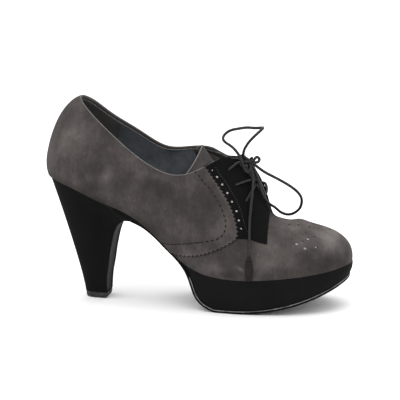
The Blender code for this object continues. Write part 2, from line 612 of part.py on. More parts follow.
def loft(name, ring, half, finish, collection):
    """A closed loft of rings; the top is capped in strips from one side to the other."""
    levels, count = ring.shape[:2]
    faces = [tuple(range(count))]
    for i in range(levels - 1):
        for j in range(count):
            k = (j + 1) % count
            faces.append((i * count + j, i * count + k, (i + 1) * count + k, (i + 1) * count + j))
    top = (levels - 1) * count
    across_pairs = [(top + i, top + 2 * half - 2 - i) for i in range(half - 1)]
    front = [top + i for i in range(2 * half - 1, count)]
    faces.append((*front, across_pairs[0][0], across_pairs[1][0], across_pairs[1][1], across_pairs[0][1]))
    for (a, b), (c, d) in zip(across_pairs[1:], across_pairs[2:]):
        faces.append((a, c, d, b))
    faces.append((across_pairs[-1][0], top + half - 1, across_pairs[-1][1]))
    return mesh_object(name, ring.reshape(-1, 3), faces, finish, collection)


def make_heel_tip(collection):
    """The top piece: the heel's foot, a little smaller, with an eased lower edge."""
    turn = np.linspace(0, 1, 10)
    x, half = heel_ring(turn)
    middle = (HEEL_BASE_FRONT_X + HEEL_BASE_BACK_X) / 2
    rings = []
    for height, scale in TIP_RINGS:
        near = np.stack([middle + (x - middle) * scale, -half * scale, 0 * x + height], axis=1)
        far = np.stack([middle + (x - middle) * scale, half * scale, 0 * x + height], axis=1)
        rings.append(np.concatenate([near[:-1], far[::-1]]))
    return loft("heel_tip", np.array(rings), len(turn), SOLE_BLACK, collection)


def tube(name, points, finish, collection):
    """A round cord along points, as a bevelled curve with filled ends."""
    curve = bpy.data.curves.new(name, "CURVE")
    curve.dimensions = "3D"
    curve.bevel_depth = LACE_RADIUS * MM
    curve.bevel_resolution = 2
    curve.use_fill_caps = True
    spline = curve.splines.new("POLY")
    spline.points.add(len(points) - 1)
    for knot, place_at in zip(spline.points, place(points)):
        knot.co = (*place_at, 1.0)
    curve.materials.append(new_material(name, finish))
    made = bpy.data.objects.new(name, curve)
    collection.objects.link(made)
    return made


def meshed(obj, collection):
    """A mesh object in place of a curve, with its end caps welded on."""
    name = obj.name
    bpy.context.view_layer.update()
    evaluated = obj.evaluated_get(bpy.context.evaluated_depsgraph_get())
    mesh = bpy.data.meshes.new_from_object(evaluated)
    build = bmesh.new()
    build.from_mesh(mesh)
    bmesh.ops.remove_doubles(build, verts=build.verts, dist=0.00001)
    bmesh.ops.recalc_face_normals(build, faces=build.faces)
    build.to_mesh(mesh)
    build.free()
    matrix = obj.matrix_world.copy()
    bpy.data.objects.remove(obj, do_unlink=True)
    made = bpy.data.objects.new(name, mesh)
    made.matrix_world = matrix
    collection.objects.link(made)
    return made


def as_cutter(obj):
    obj.hide_render = True
    obj.display_type = "WIRE"


def cut(obj, cutter, operation):
    change = obj.modifiers.new(cutter.name, "BOOLEAN")
    change.operation = operation
    change.object = cutter


def strand(name, start, end, swing, dip, collection):
    """A lace strand over the throat between a lateral and a medial eyelet.

    Midway it swings toewards by some ribs, and dips into the throat.
    """
    step = np.linspace(0, 1, 60)
    way = start[1] + (3 - end[1] - start[1]) * step
    rib = start[0] + (end[0] - start[0]) * step - swing * np.sin(math.pi * step)
    sunk = dip * np.sin(math.pi * np.clip(way - 1, 0, 1))**2
    lift = FACING_LIFT + FACING + CLEAR + LACE_RADIUS - sunk
    dense = over_instep(rib, way, lift[:, None])
    return tube(name, even_points(dense, STRAND_STEP), LACE_BLACK, collection)


def make_lace(collection, cutters):
    """The crossing, the tie to the knot, and the bow's cords."""
    top, middle, bottom = EYELETS
    crossing = meshed(strand("lace_cross", middle, bottom, CROSS_SWING, CROSS_DIP, collection), collection)
    other = meshed(strand("lace_cross_other", bottom, middle, 0.0, CROSS_DIP, cutters), cutters)
    as_cutter(other)
    cut(crossing, other, "UNION")
    strand("lace_tie", top, top, TIE_SWING, TIE_DIP, collection)
    cords = (("lace_loop_front", LOOP_FRONT), ("lace_loop_back", LOOP_BACK), ("lace_end", LACE_END))
    for name, route in cords:
        tube(name, smooth_route(route, CORD_STEP), LACE_BLACK, collection)
    make_knot(collection)
    make_barrel(collection)


def make_knot(collection):
    mesh = bpy.data.meshes.new("lace_knot")
    build = bmesh.new()
    bmesh.ops.create_uvsphere(build, u_segments=14, v_segments=9, radius=MM)
    bmesh.ops.scale(build, vec=KNOT_RADII, verts=build.verts)
    build.to_mesh(mesh)
    build.free()
    mesh.shade_smooth()
    mesh.materials.append(new_material("lace_knot", LACE_BLACK))
    made = bpy.data.objects.new("lace_knot", mesh)
    made.location = place(KNOT_CENTRE)
    collection.objects.link(made)


def make_barrel(collection):
    """The barrel on the hanging end: a turned profile."""
    mesh = bpy.data.meshes.new("lace_barrel")
    points = [(r * MM, 0.0, z * MM) for r, z in BARREL_PROFILE]
    mesh.from_pydata(points, [(i, i + 1) for i in range(len(points) - 1)], [])
    mesh.materials.append(new_material("lace_barrel", BARREL_BROWN))
    made = bpy.data.objects.new("lace_barrel", mesh)
    made.location = place(BARREL_BASE)
    collection.objects.link(made)
    turned = made.modifiers.new("turned", "SCREW")
    turned.steps = 16
    turned.render_steps = 16
    turned.use_merge_vertices = True
    turned.merge_threshold = 0.00001


def make_eyelet_cutter(cutters):
    """One cutter with a pin through each eyelet, square to the facing."""
    build = bmesh.new()
    for rib, rise in EYELETS:
        for place_rib in (rib, LOOP - rib):
            ends = [surface(place_rib, rise, np.array(lift)) for lift in (-5.0, 5.0)]
            add_pin(build, place(ends[0]), place(ends[1]))
    mesh = bpy.data.meshes.new("eyelet_pins")
    build.to_mesh(mesh)
    build.free()
    made = bpy.data.objects.new("eyelet_pins", mesh)
    cutters.objects.link(made)
    as_cutter(made)
    return made


def add_pin(build, start, end):
    """A round pin between two points."""
    length = float(np.linalg.norm(end - start))
    made = bmesh.ops.create_cone(build, cap_ends=True, segments=10, radius1=EYELET_RADIUS * MM,
                                 radius2=EYELET_RADIUS * MM, depth=length)
    turn = Vector((0, 0, 1)).rotation_difference(Vector(end - start)).to_matrix()
    bmesh.ops.rotate(build, cent=(0, 0, 0), matrix=turn, verts=made["verts"])
    bmesh.ops.translate(build, vec=tuple((start + end) / 2), verts=made["verts"])


def main():
    clear_scene()
    parts = new_collection(OBJECT_NAME)
    cutters = new_collection("cutters")
    pins = make_eyelet_cutter(cutters)
    upper = make_upper(parts)
    cut(upper, pins, "DIFFERENCE")
    for name, medial in (("facing_lateral", False), ("facing_medial", True)):
        cut(make_facing(name, medial, parts), pins, "DIFFERENCE")
    make_tongue(parts)
    make_insole(parts)
    profile = sole_profile()
    make_outsole(profile, parts)
    make_platform(profile, parts)
    make_heel(parts)
    make_heel_tip(parts)
    make_lace(parts, cutters)


main()
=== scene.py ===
"""Looks of the heeled lace-up shoe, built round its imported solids.

Sizes are millimetres in the shoe's design frame: x runs forward from the back of the heel, -y is
the outer side, z is up from the floor. place() turns them into the frame's metres. A spot on the
upper is a rib and a rise: rib 0 is the toe, 17 the heel's back and 34 the toe again, and rise 0 is
the feather line and 1 the top edge. A lift is a distance outside the last's face.
"""
import json
import math

import bmesh
import bpy
import numpy as np
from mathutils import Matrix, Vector

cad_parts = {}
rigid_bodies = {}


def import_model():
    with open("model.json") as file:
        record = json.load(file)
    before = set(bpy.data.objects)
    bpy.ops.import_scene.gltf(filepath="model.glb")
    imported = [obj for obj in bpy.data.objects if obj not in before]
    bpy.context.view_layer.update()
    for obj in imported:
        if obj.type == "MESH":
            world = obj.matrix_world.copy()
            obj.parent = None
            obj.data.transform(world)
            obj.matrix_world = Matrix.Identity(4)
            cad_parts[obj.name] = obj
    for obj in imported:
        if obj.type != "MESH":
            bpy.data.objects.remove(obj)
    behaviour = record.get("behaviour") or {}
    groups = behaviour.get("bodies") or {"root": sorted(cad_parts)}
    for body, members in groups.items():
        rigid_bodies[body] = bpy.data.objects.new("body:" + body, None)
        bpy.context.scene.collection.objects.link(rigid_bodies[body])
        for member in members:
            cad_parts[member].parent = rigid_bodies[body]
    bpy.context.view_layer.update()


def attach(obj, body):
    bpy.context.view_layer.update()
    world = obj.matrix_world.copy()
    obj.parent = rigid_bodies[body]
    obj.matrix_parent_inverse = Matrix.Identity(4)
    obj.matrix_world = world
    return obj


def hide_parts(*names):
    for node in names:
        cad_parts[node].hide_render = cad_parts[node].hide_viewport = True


MM = 0.001
ORIGIN = np.array((119.4, -0.7, 0.0))

# Thicknesses and lifts of the layers, sizes of the lace and eyelets, and ribs where a layer starts or ends
WALL = 1.5
LINING_LIFT = -1.1
VAMP_INNER = -0.65
FACING_INNER = 0.3
FACING_OUTER = 0.95
TRIM_OUTER = 1.35
PANEL_EDGE = 1.75
PANEL_OUTER = 1.45
TONGUE_LIFT = -2.1
TONGUE = 1.6
INSOLE = 2.5
OUTSOLE = 2.2
WAIST_SOLE = 1.7
CLEAR = 0.3
LACE_RADIUS = 1.05
EYELET_RADIUS = 1.5
EYELET_REACH = 2.0
EYELET_LIFTS = (-1.6, -0.4, 0.7)
BRAID = 0.08
LINING_DROP = 2.2
COLLAR_RIBS = (9.2, 10.4)
STRIP_FRONT = 6.2
STRIP_BACK = 11.75
STRIP_LEAN = 3.5
STRIP_OUTER = -WALL - 0.02
STRIP_INNER = -WALL - 0.12
GRIP_RIB = 14.53
GRIP_OUTER = -WALL - 0.03
GRIP_INNER = -WALL - 0.6
BINDING_RIB = 9.4
BINDING_LAP = 0.6
BINDING_INNER = -1.2
FACING_FRONT_INNER = 0.06
FACING_LAP = 0.2
UNDERLAY_OUTER = 0.45
UNDERLAY_INNER = 0.05
TRIM_INNER = 0.66
# Lifts of the dark layer that paints the shadow under the trim's teeth
SHADOW_LAYER_INNER = 0.1
SHADOW_LAYER_OUTER = 0.62
VAMP_LAP = 0.45
LAP = 0.02
BEVEL = 0.3
TRIM_BEVEL = 0.2
# Seam at the heel's back: its depth, and its width in ribs
SEAM_DEPTH = 0.3
SEAM_WIDTH = 0.035
TOE_LAYER_RIB = 4.4
TOE_LAYER_RISE = 0.3
TOE_LAYER_SAG = -0.4
TOE_LAYER_OUTER = -0.98
TOE_LAYER_INNER = -1.06
# Beads along the collar: name, first rib, lift, drop below the edge, radius
TOPLINES = (("topline_outer", 10.3, 0.55, 0.0, 0.6), ("topline_inner", 9.6, -1.4, LINING_DROP, 0.5))

# Detail of the meshes
SAME_PLACE = 0.000002
BEAD_STEP = 0.8
BEAD_SIDES = 8
PIN_SIDES = 20
CORD_STEP = 0.4
CORD_SIDES = 16
CORD_END = 0.6
CORD_END_LEAST = 0.06
BRAID_STRANDS = 4
BRAID_TURN = 3.2
CORD_SIDEWAYS = (0.3, 0.2, 0.93)
ROD_SIDEWAYS = (0.31, 0.17, 0.93)
# A stitch: share of its length, share of its radius
STITCH_RINGS = ((-0.5, 0.3), (-0.3, 0.9), (0.0, 1.0), (0.3, 0.9), (0.5, 0.3))
STITCH_SIDES = 6

# Sole and heel
FLAT_REAR_X = 138.0
FLAT_FRONT_X = 150.0
TOE_ROCKER = 172.0
SOLE_INSET = 1.8
SOLE_FLUSH = 0.4
SOLE_REAR_X = 126.0
SOLE_REAR_RUN = 14.0
WAIST_FRONT_X = 100.0
OUTSOLE_END_X = 57.6
SEAT_DROP = 3.24
HEEL_TIP = 4.6
HEEL_BASE_BACK_X = 29.6
HEEL_BASE_FRONT_X = 48.4
HEEL_BASE_HALF = 9.5
HEEL_SQUARENESS = 2.7
HEEL_FRONT_RIB = 12.1
HEEL_SEAT_GROW = 0.8
BREAST_HOLLOW = 1.2
WELT_END_X = 118.0
PLATFORM_END_X = 113.0
PLATFORM_BULGE = 0.7
PLATFORM_CORNER = 0.5
SEAT_GAP = 0.2
SOLE_ROUND = 0.7
HEEL_SOLE_TRIM = 0.3
WELT_OUT = 0.15
WELT_DROP = 0.25
WELT_RADIUS = 0.33
BREAST_LIFT = 0.03
BREAST_OUTER = 0.35
HEEL_EDGE_RADIUS = 0.35
# Sock's rings: inset, height above the feather line
SOCK_RINGS = ((2.4, 0.15), (2.1, 0.6), (2.1, 2.0), (2.3, 2.45), (2.8, INSOLE + 0.1))
# Top piece's rings: height, share of the heel's foot
TIP_RINGS = ((0.0, 0.86), (0.4, 0.91), (1.1, 0.945), (2.4, 0.965), (HEEL_TIP - 0.4, 0.97),
             (HEEL_TIP, 0.95))
# Heel's rings: share of its height, and shares of the breast's run out to the seat, forwards and sideways
HEEL_RINGS = ((0.0, 0.0, 0.0), (0.06, 0.0, 0.050), (0.12, 0.003, 0.098), (0.21, 0.016, 0.158),
              (0.32, 0.060, 0.205), (0.43, 0.103, 0.235), (0.53, 0.137, 0.254), (0.64, 0.187, 0.272),
              (0.74, 0.240, 0.298), (0.83, 0.310, 0.340), (0.90, 0.405, 0.430), (0.94, 0.500, 0.520),
              (0.97, 0.600, 0.610), (0.99, 0.750, 0.750), (1.0, 1.0, 1.0))
HEEL_BACK_CURL = 1.15

# Ribs of the last, from the toe to the heel's back
RIB_COLUMNS = ("base_x", "base_lateral", "base_medial", "base_z", "low_x", "low_out", "low_z",
               "top_x", "top_mid", "top_half", "top_z", "medial_rise",
               "high_x", "high_out", "high_z")
RIBS = (
    (238.0, -2.0,  2.0, 35.2,  2.0, 0.0, 14.0, 206.0, 1.5,  0.0,  63.6,  0.0,  23.5,  0.0,  -3.0),
    (233.5, 14.0, 18.0, 34.6,  1.6, 1.2, 14.0, 203.5, 1.5,  0.0,  64.0,  0.0,  17.0, 10.0,  -2.4),
    (222.0, 26.5, 29.5, 32.6,  0.8, 2.0, 15.0, 199.5, 1.2,  0.0,  64.7,  0.0,  10.0, 17.0,  -1.3),
    (205.0, 35.5, 36.0, 30.3,  0.3, 2.6, 16.0, 194.0, 1.0,  0.0,  65.4,  0.0,   5.0, 22.0,  -0.6),
    (185.0, 40.2, 39.5, 28.2,  0.0, 3.0, 17.0, 186.5, 0.5,  0.0,  66.2,  0.0,   1.0, 25.0,  -0.3),
    (164.0, 41.2, 39.5, 26.6,  2.0, 3.0, 18.0, 176.5, 0.0,  1.5,  70.5,  0.8,  -3.0, 26.0,  -5.0),
    (148.0, 40.2, 37.3, 26.7,  4.0, 3.0, 19.0, 170.5, 0.0,  6.0,  82.0,  3.2,  -6.0, 24.0,  -9.0),
    (134.0, 38.2, 33.8, 28.2,  6.0, 3.0, 19.0, 162.5, 0.0,  7.0,  96.0,  5.5,  -9.0, 22.0, -10.0),
    (121.5, 35.6, 30.4, 32.0,  8.0, 3.0, 18.0, 151.5, 0.0,  7.5, 108.8,  2.5, -10.0, 20.0, -10.0),
    (110.5, 33.0, 27.7, 38.4,  9.0, 3.0, 17.0, 141.5, 0.0,  9.5, 114.2, -2.0, -10.0, 19.0, -12.0),
    (100.0, 30.9, 26.0, 48.0, 10.0, 3.0, 15.0, 131.0, -0.2, 21.2, 110.8, 3.6,  -9.0, 12.0, -16.0),
    (89.0,  29.2, 25.1, 58.0, 10.0, 3.5, 14.0, 119.0, -0.2, 29.8, 105.1, 10.9,  -8.0,  6.0, -14.0),
    (75.0,  28.2, 25.3, 68.5,  9.0, 4.0, 13.0, 104.0, -0.2, 32.8, 103.8, 10.9,  -9.0,  3.0, -12.0),
    (59.0,  27.9, 26.2, 76.5,  7.0, 4.5, 14.0,  86.0, 0.0, 33.0, 111.4,  4.1,  -9.0,  2.5, -13.0),
    (41.5,  26.8, 26.4, 83.2,  4.0, 5.0, 17.0,  66.0, 0.7, 29.8, 125.2,  2.2,  -9.0,  3.0, -15.0),
    (25.0,  23.0, 23.0, 89.9,  1.0, 5.0, 17.9,  47.0, 1.2, 22.8, 140.0,  0.3,  -9.0,  4.5, -14.0),
    (9.4,   14.1, 14.1, 94.6, -3.9, 4.1, 17.9,  34.0, 0.5, 12.5, 150.2,  2.4, -15.0,  3.4,  -9.0),
    (2.2,    0.0,  0.0, 96.8, -5.0, 0.0, 15.4,  27.4, 0.0,  0.0, 156.7,  0.0, -18.0,  0.0,  -6.0),
)
HEEL_RIB = len(RIBS) - 1
LOOP = 2 * HEEL_RIB
SLIT_RIB = 4.8
FEATHER_RISE = 0.12

# Pinked edges of the quarter's trim and of its panel, and the facing's front edge: rise, rib
TRIM_EDGE = ((0.0, 9.65), (0.10, 8.80), (0.20, 7.80), (0.30, 7.03), (0.40, 6.50), (0.47, 6.35),
             (0.53, 6.55), (0.60, 7.00), (0.66, 7.72), (0.71, 8.55), (0.78, 9.25), (0.88, 9.80),
             (1.0, 10.30))
PANEL_LINE = ((0.0, 10.3), (0.07, 9.93), (0.15, 9.46), (0.233, 8.69), (0.30, 7.90), (0.38, 7.21),
              (0.432, 7.06), (0.49, 7.11), (0.542, 7.36), (0.598, 7.95), (0.655, 8.81),
              (0.703, 9.33), (0.79, 9.90), (0.96, 10.66), (1.0, 10.84))
FACING_FRONT = ((0.50, 4.55), (0.72, 4.78), (0.90, 5.05), (1.0, 5.25))
FACING_FOOT = 0.5
FACING_BOW = 0.03
FACING_BACK_DROP = 0.06
TOOTH_PITCH = 3.3
TOOTH_DEPTH = 1.8
TRIM_SHADOW = 0.7
TOOTH_BACK = 0.7
# Steps across the trim, from its edge to under the panel, and of the panel next to its edge: shares
TRIM_STEPS = (0.0, 0.10, 0.2, 0.3, 0.42, 0.55, 0.7, 0.85, 1.0, 1.15, 1.3)
PANEL_STEPS = (0.0, 0.010, 0.022, 0.036, 0.052, 0.07, 0.09)
# Rows of stitches: pitch, length, radius; the panel's two rows are dark dashes of painted shadow
SHADOW_DASHES = (4.1, 2.1, 0.5)
LOW_SHADOW_DASHES = (3.1, 2.9, 0.32)
FACING_STITCHES = (1.9, 0.9, 0.2)
DASH_LIFT = 0.16
# Gathers at the front of a facing: rib, width in ribs, height
PLEATS = ((5.35, 0.07, 0.6), (5.62, 0.07, 0.5), (5.90, 0.08, 0.35))

# Eyelets from the top, brogue holes and the stitch line beside them: rib, rise
EYELETS = ((8.28, 0.875), (7.54, 0.818), (6.76, 0.790))
FACING_HOLES = ((9.45, 0.863), (8.75, 0.770), (8.21, 0.733), (7.75, 0.708), (7.35, 0.682),
                (6.94, 0.652), (6.62, 0.605), (6.30, 0.557))
FACING_STITCH = ((9.24, 0.873), (8.61, 0.795), (8.08, 0.768), (7.62, 0.740), (7.23, 0.720),
                 (6.80, 0.685), (6.43, 0.638), (5.95, 0.575))
FACING_HOLE_RADIUS = 0.85

# Holes of the toe's medallion: x, y, z, radius; those of the lateral half are repeated about its middle
TOE_MIDDLE = 1.2
MEDALLION = ((198.6, -27.4, 53.7, 1.25), (204.9, -28.1, 50.8, 1.25), (206.3, -20.9, 56.4, 1.25),
             (213.0, -24.1, 51.1, 1.25), (210.9, -17.4, 57.0, 0.8), (205.8, -7.8, 62.4, 0.9),
             (220.5, -1.6, 59.4, 0.9), (197.5, -10.6, 63.3, 0.8), (190.8, -12.0, 63.8, 0.8),
             (208.0, 1.5, 63.3, 0.9), (195.3, 1.0, 65.3, 0.8), (204.0, -16.4, 59.7, 0.6),
             (213.4, -2.2, 61.6, 0.6), (202.8, -24.5, 54.9, 0.6))
# Those further out than this are repeated; a hole's pin leans forward and outwards as the toe curves
MEDALLION_MIDDLE = -5.0
HOLE_LEAN = 0.25
HOLE_FAN = 45.0
HOLE_DEPTH = 2.2
HOLE_TOP = 3.0

# Tongue: rib and how far down the rib its sides reach
TONGUE_SIDES = ((5.25, 0.90), (6.5, 0.84), (8.0, 0.80), (9.5, 0.84), (10.6, 0.92), (11.3, 0.97))
TONGUE_BOW = ((5.25, 0.35), (7.0, 0.22), (9.0, 0.06), (10.0, 0.1), (10.5, 0.30), (11.0, 0.60),
              (11.3, 0.80))
TONGUE_FREE_ROW = 40
TONGUE_EDGE_RADIUS = 0.5
TONGUE_SKEW = 0.1
# How far the tongue is pressed down in the throat: rib, across its whole width, on its medial half
TONGUE_SINK = ((5.25, 0.0, 0.0), (7.0, 0.5, 0.5), (8.5, 3.0, 3.0), (9.5, 4.5, 5.0), (10.0, 2.0, 7.0),
               (10.6, 0.0, 6.0), (11.3, 0.0, 2.0))

# Outsole's underside behind the tread
SOLE_REAR = ((131.0, 2.4), (127.0, 4.8), (123.0, 8.95), (120.0, 15.1), (117.0, 24.0), (114.0, 30.4),
             (111.0, 34.6), (106.8, 39.2))
# Outsole's thickness along the shoe
SOLE_DEPTH = ((55.0, 4.2), (70.0, 4.2), (74.0, 3.9), (78.0, 3.1), (82.0, 2.3), (86.0, 1.8),
              (91.0, WAIST_SOLE), (105.0, WAIST_SOLE), (109.0, 1.8), (113.0, 1.9), (119.0, OUTSOLE),
              (240.0, OUTSOLE))

# Cord routes, knot outwards
KNOT_CENTRE = (160.4, -3.0, 110.9)
LOOP_FRONT = ((165.2, -4.6, 107.2), (170.2, -5.0, 103.8), (176.8, -6.0, 100.6), (184.1, -6.5, 97.1),
              (191.2, -6.0, 92.9), (195.7, -4.0, 88.9), (198.1, -1.0, 84.9), (198.7, 2.0, 81.3),
              (198.3, 4.0, 77.9), (196.5, 7.0, 73.6), (193.4, 9.0, 70.4), (189.7, 10.0, 68.4),
              (185.8, 9.8, 68.3), (181.6, 7.0, 70.6), (178.8, 3.0, 74.2), (176.6, -2.0, 77.0),
              (174.2, -6.8, 80.0), (172.0, -10.2, 84.0), (170.0, -11.6, 88.6), (168.3, -10.8, 93.4),
              (166.6, -9.3, 98.0), (164.6, -7.6, 103.0))
LOOP_BACK = ((154.3, -3.8, 114.6), (155.0, -5.7, 118.9), (156.9, -7.7, 122.8), (159.4, -9.3, 126.5),
             (162.4, -10.8, 129.9), (165.9, -11.2, 133.4), (168.9, -8.5, 136.2), (169.3, -3.9, 137.0),
             (166.3, -0.2, 136.3), (161.6, 1.0, 135.9), (156.6, 1.5, 136.0), (152.0, 2.5, 135.3),
             (147.5, 3.8, 134.3), (143.0, 5.0, 132.9), (139.1, 3.9, 130.2), (138.1, 0.4, 127.1),
             (140.7, -3.0, 124.8), (144.6, -5.6, 123.0), (148.1, -7.8, 120.7), (151.2, -9.5, 117.5),
             (153.6, -10.8, 113.6), (155.5, -11.6, 109.3), (157.4, -12.0, 104.9))
LACE_END = ((161.2, -8.2, 106.4), (162.9, -10.8, 101.8), (163.5, -13.6, 97.6), (163.6, -16.3, 94.0),
            (163.5, -18.4, 90.6), (163.5, -20.4, 87.2), (163.3, -21.9, 83.8), (163.2, -23.4, 80.2),
            (163.1, -25.4, 76.0), (163.1, -28.8, 69.6), (163.4, -32.0, 63.8), (163.9, -35.8, 57.8),
            (164.4, -40.0, 52.6), (164.9, -43.6, 48.6), (165.1, -45.2, 46.2))
BARREL_BASE = (165.1, -45.4, 27.6)
# Barrel's radius and height, from its collar down
BARREL_PROFILE = ((1.2, 19.6), (1.5, 19.0), (1.6, 17.9), (2.1, 17.2), (2.6, 15.6), (2.35, 15.2),
                  (2.7, 14.8), (3.15, 11.0), (3.2, 8.2), (2.9, 7.8), (3.2, 7.4), (3.0, 3.6),
                  (2.5, 0.8), (1.7, 0.0))
BARREL_SIDES = 32
BARREL_GROOVE = 0.45
BARREL_PITCH = 2.2
TIE_DIP = 4.6
TIE_SWING = 0.72
CROSS_SWING = 1.1
CROSS_DIP = 2.5
CROSS_AT = 0.16
CROSS_HUMP = 2.1
CROSS_HUMP_WIDTH = 0.09

# The knot: its turns round the loops' starts, the small loop beside it, and how far it laps each cord
KNOT_TURNS = 2
KNOT_WRAP = (2.3, 2.1, 1.5)
KNOT_MIDDLE = (KNOT_CENTRE[0], KNOT_CENTRE[1] - 1.4, KNOT_CENTRE[2] - 0.2)
KNOT_ADVANCE = 0.26
KNOT_LOOP = ((163.0, -5.5, 112.6), (165.0, -5.8, 114.7), (166.8, -5.6, 113.6), (166.2, -5.4, 111.2),
             (163.4, -5.4, 110.4))
KNOT_LAP = 3
KNOT_ACROSS = ((162.6, -5.6, 109.3), (160.0, -6.0, 111.4), (157.0, -5.0, 113.4))
KNOT_FRONT = ((163.0, -7.0, 106.6), (161.4, -5.8, 109.0))
KNOT_BACK = ((159.2, -10.6, 103.4), (160.6, -8.8, 105.6), (160.8, -6.6, 108.6))
KNOT_END = ((160.4, -7.0, 108.4), (160.2, -5.2, 110.6))

# Main creases and swellings of the suede: middle, tilt up from x and turn towards y in degrees,
# length, width, height
CREASES = ((185.5, -8, 66, 0, 80, 22, 4.5, -0.9),
           (196, -6, 65.5, 0, 80, 22, 5.5, 1.7),
           (172, -38, 45, 70, 0, 14, 4, -0.6),
           (184, -36, 44, 75, 0, 12, 4.5, -0.5),
           (222, -18, 46, 20, -30, 10, 7, -0.6),
           (95, -31, 97, -10, 0, 14, 4, -0.5),
           (98, -31, 104, -10, 0, 16, 4, 0.4),
           (24, -20, 125, 60, 0, 18, 12, 0.5),
           (60, -29, 101, 30, 0, 10, 5, 0.4),
           (44, -26, 93, 20, 0, 12, 5, -0.4))
CREASE_FOOT = 0.2
CREASE_LIMITS = (-0.75, 1.8)
UNEVEN = 0.10

# Light and dark patches of the suede: x, z, half length, half width, tilt in degrees, gain
PATCHES = ((22, 127, 20, 11, 60, 0.22), (32, 152, 9, 6, 40, 0.14),
           (54.4, 101.3, 6, 4.5, 20, 0.24), (94, 103, 9, 3.5, -10, 0.16),
           (144.3, 65.2, 6, 9, 0, 0.16), (116, 47, 7, 4, -20, 0.14),
           (195, 63.5, 9, 5, 0, 0.16), (223, 57, 9, 6, -20, 0.20),
           (179.7, 40, 8, 4, 10, 0.14), (138, 34, 8, 4, 0, 0.16),
           (42.3, 92.3, 8, 4, 20, -0.10), (96.7, 95, 6, 8, 0, -0.08),
           (133, 87, 8, 14, 20, -0.12), (106, 55, 14, 4, -30, -0.14),
           (191, 56, 7, 5, 0, -0.08), (209, 47, 8, 6, 0, -0.20),
           (221, 42, 7, 5, 0, -0.18), (149.6, 30, 9, 4, 0, -0.12),
           (195, 58, 22, 14, 0, 0.20), (222, 50, 14, 12, 0, 0.18),
           (184, 44, 18, 12, 0, 0.07), (158.6, 35.4, 3, 1.3, -30, 0.30),
           (30, 118, 26, 22, 50, 0.06))
# Tones of the pieces that have one shade, and the painted highlight along the trim's edge and painted shade
# along the seat line: gain, width
# The binding's tone is painted shade under the collar's edge
BINDING_SHADE_TONE = 0.4
# The facing strip's tone is painted shade on the lining inside the throat
STRIP_SHADE_TONE = 0.1
TONGUE_TONE = 0.42
PLAIN_TONE = 0.5
PLATFORM_TONE = 0.7
TRIM_EDGE_HIGHLIGHT = (0.14, 1.0)
SEAT_PAINTED_SHADE = (-0.16, 4.0)
SEAT_RIB = 9.7
# Clouds of tone in suede and its pile: cycles a metre, detail, roughness, stretch, share of the tone
CLOUDS = ((34, 2, 0.45, (1, 1, 1), 0.50), (105, 3, 0.5, (1.1, 1.1, 0.85), 0.40),
          (420, 3, 0.6, (1.2, 1.2, 0.75), 0.22))
PILE = (2100, 2, 0.7, (1, 1, 1), 0.22)
SHEEN_TINT = (0.9, 0.88, 0.87, 1.0)

# Camera: what it looks at and where it stands, in metres, and its lens on a 36 mm frame
CAMERA_TARGET = (0.00092, 0.0007, 0.07901)
CAMERA_AT = (0.20547, -1.15936, 0.30798)
CAMERA_LENS = 140.3
CAMERA_FRAME = 36.0
# Studio lights: name, place and size in metres, power in watts
LIGHTS = (("key", (-0.3, -0.9, 1.5), 1.1, 7), ("top", (0.3, 0.3, 1.6), 1.4, 8))
LIGHT_TARGET = (0, 0, 0.05)
SKY = 1.3
FLOOR_TONE = 0.93
FLOOR_HALF = 6


# The last's surface


def closed_spline(values):
    """Knot values and bending terms of a closed cubic spline with unit knot spacing."""
    count = len(values)
    ahead = np.roll(np.eye(count), 1, axis=1)
    matrix = 4 * np.eye(count) + ahead + ahead.T
    bend = 6 * (np.roll(values, -1) - 2 * values + np.roll(values, 1))
    return values, np.linalg.solve(matrix, bend)


def natural_spline(knots, values, at):
    """Natural cubic spline through values at the knots, read at the places at."""
    knots = np.asarray(knots, float)
    values = np.asarray(values, float)
    gaps = np.diff(knots)
    matrix = np.eye(len(knots))
    bend = np.zeros_like(values)
    slopes = np.diff(values, axis=0) / gaps.reshape((-1,) + (1,) * (values.ndim - 1))
    for i in range(1, len(knots) - 1):
        matrix[i, i - 1:i + 2] = gaps[i - 1], 2 * (gaps[i - 1] + gaps[i]), gaps[i]
        bend[i] = 6 * (slopes[i] - slopes[i - 1])
    bend = np.linalg.solve(matrix, bend)
    at = np.clip(np.asarray(at, float), knots[0], knots[-1])
    i = np.clip(np.searchsorted(knots, at, side="right") - 1, 0, len(knots) - 2)
    gap = gaps[i]
    ahead = (at - knots[i]) / gap
    behind = 1 - ahead
    pull = gap * gap / 6
    if values.ndim > 1:
        ahead, behind, pull = ahead[..., None], behind[..., None], pull[..., None]
    straight = behind * values[i] + ahead * values[i + 1]
    return straight + pull * ((behind**3 - behind) * bend[i] + (ahead**3 - ahead) * bend[i + 1])


def table_curve(rows, at):
    """Second column of a two-column table as a smooth function of the first."""
    return natural_spline([row[0] for row in rows], [row[1] for row in rows], at)


def walk(points):
    """Distance along a polyline at each of its points."""
    return np.concatenate([[0.0], np.cumsum(np.linalg.norm(np.diff(points, axis=0), axis=1))])


def even_points(dense, spacing):
    """Points a fixed distance apart along a dense polyline, with both of its ends."""
    run = walk(dense)
    count = max(3, int(round(run[-1] / spacing)) + 1)
    at = np.linspace(0, run[-1], count)
    return np.stack([np.interp(at, run, dense[:, i]) for i in range(dense.shape[1])], axis=1)


def smooth_route(points, spacing):
    """Evenly spaced points on a smooth curve through the route's own points."""
    points = np.asarray(points, float)
    chords = np.linalg.norm(np.diff(points, axis=0), axis=1)
    knots = np.concatenate([[0.0], np.cumsum(np.sqrt(chords))])
    dense = natural_spline(knots, points, np.linspace(0, knots[-1], 60 * len(points)))
    return even_points(dense, spacing)


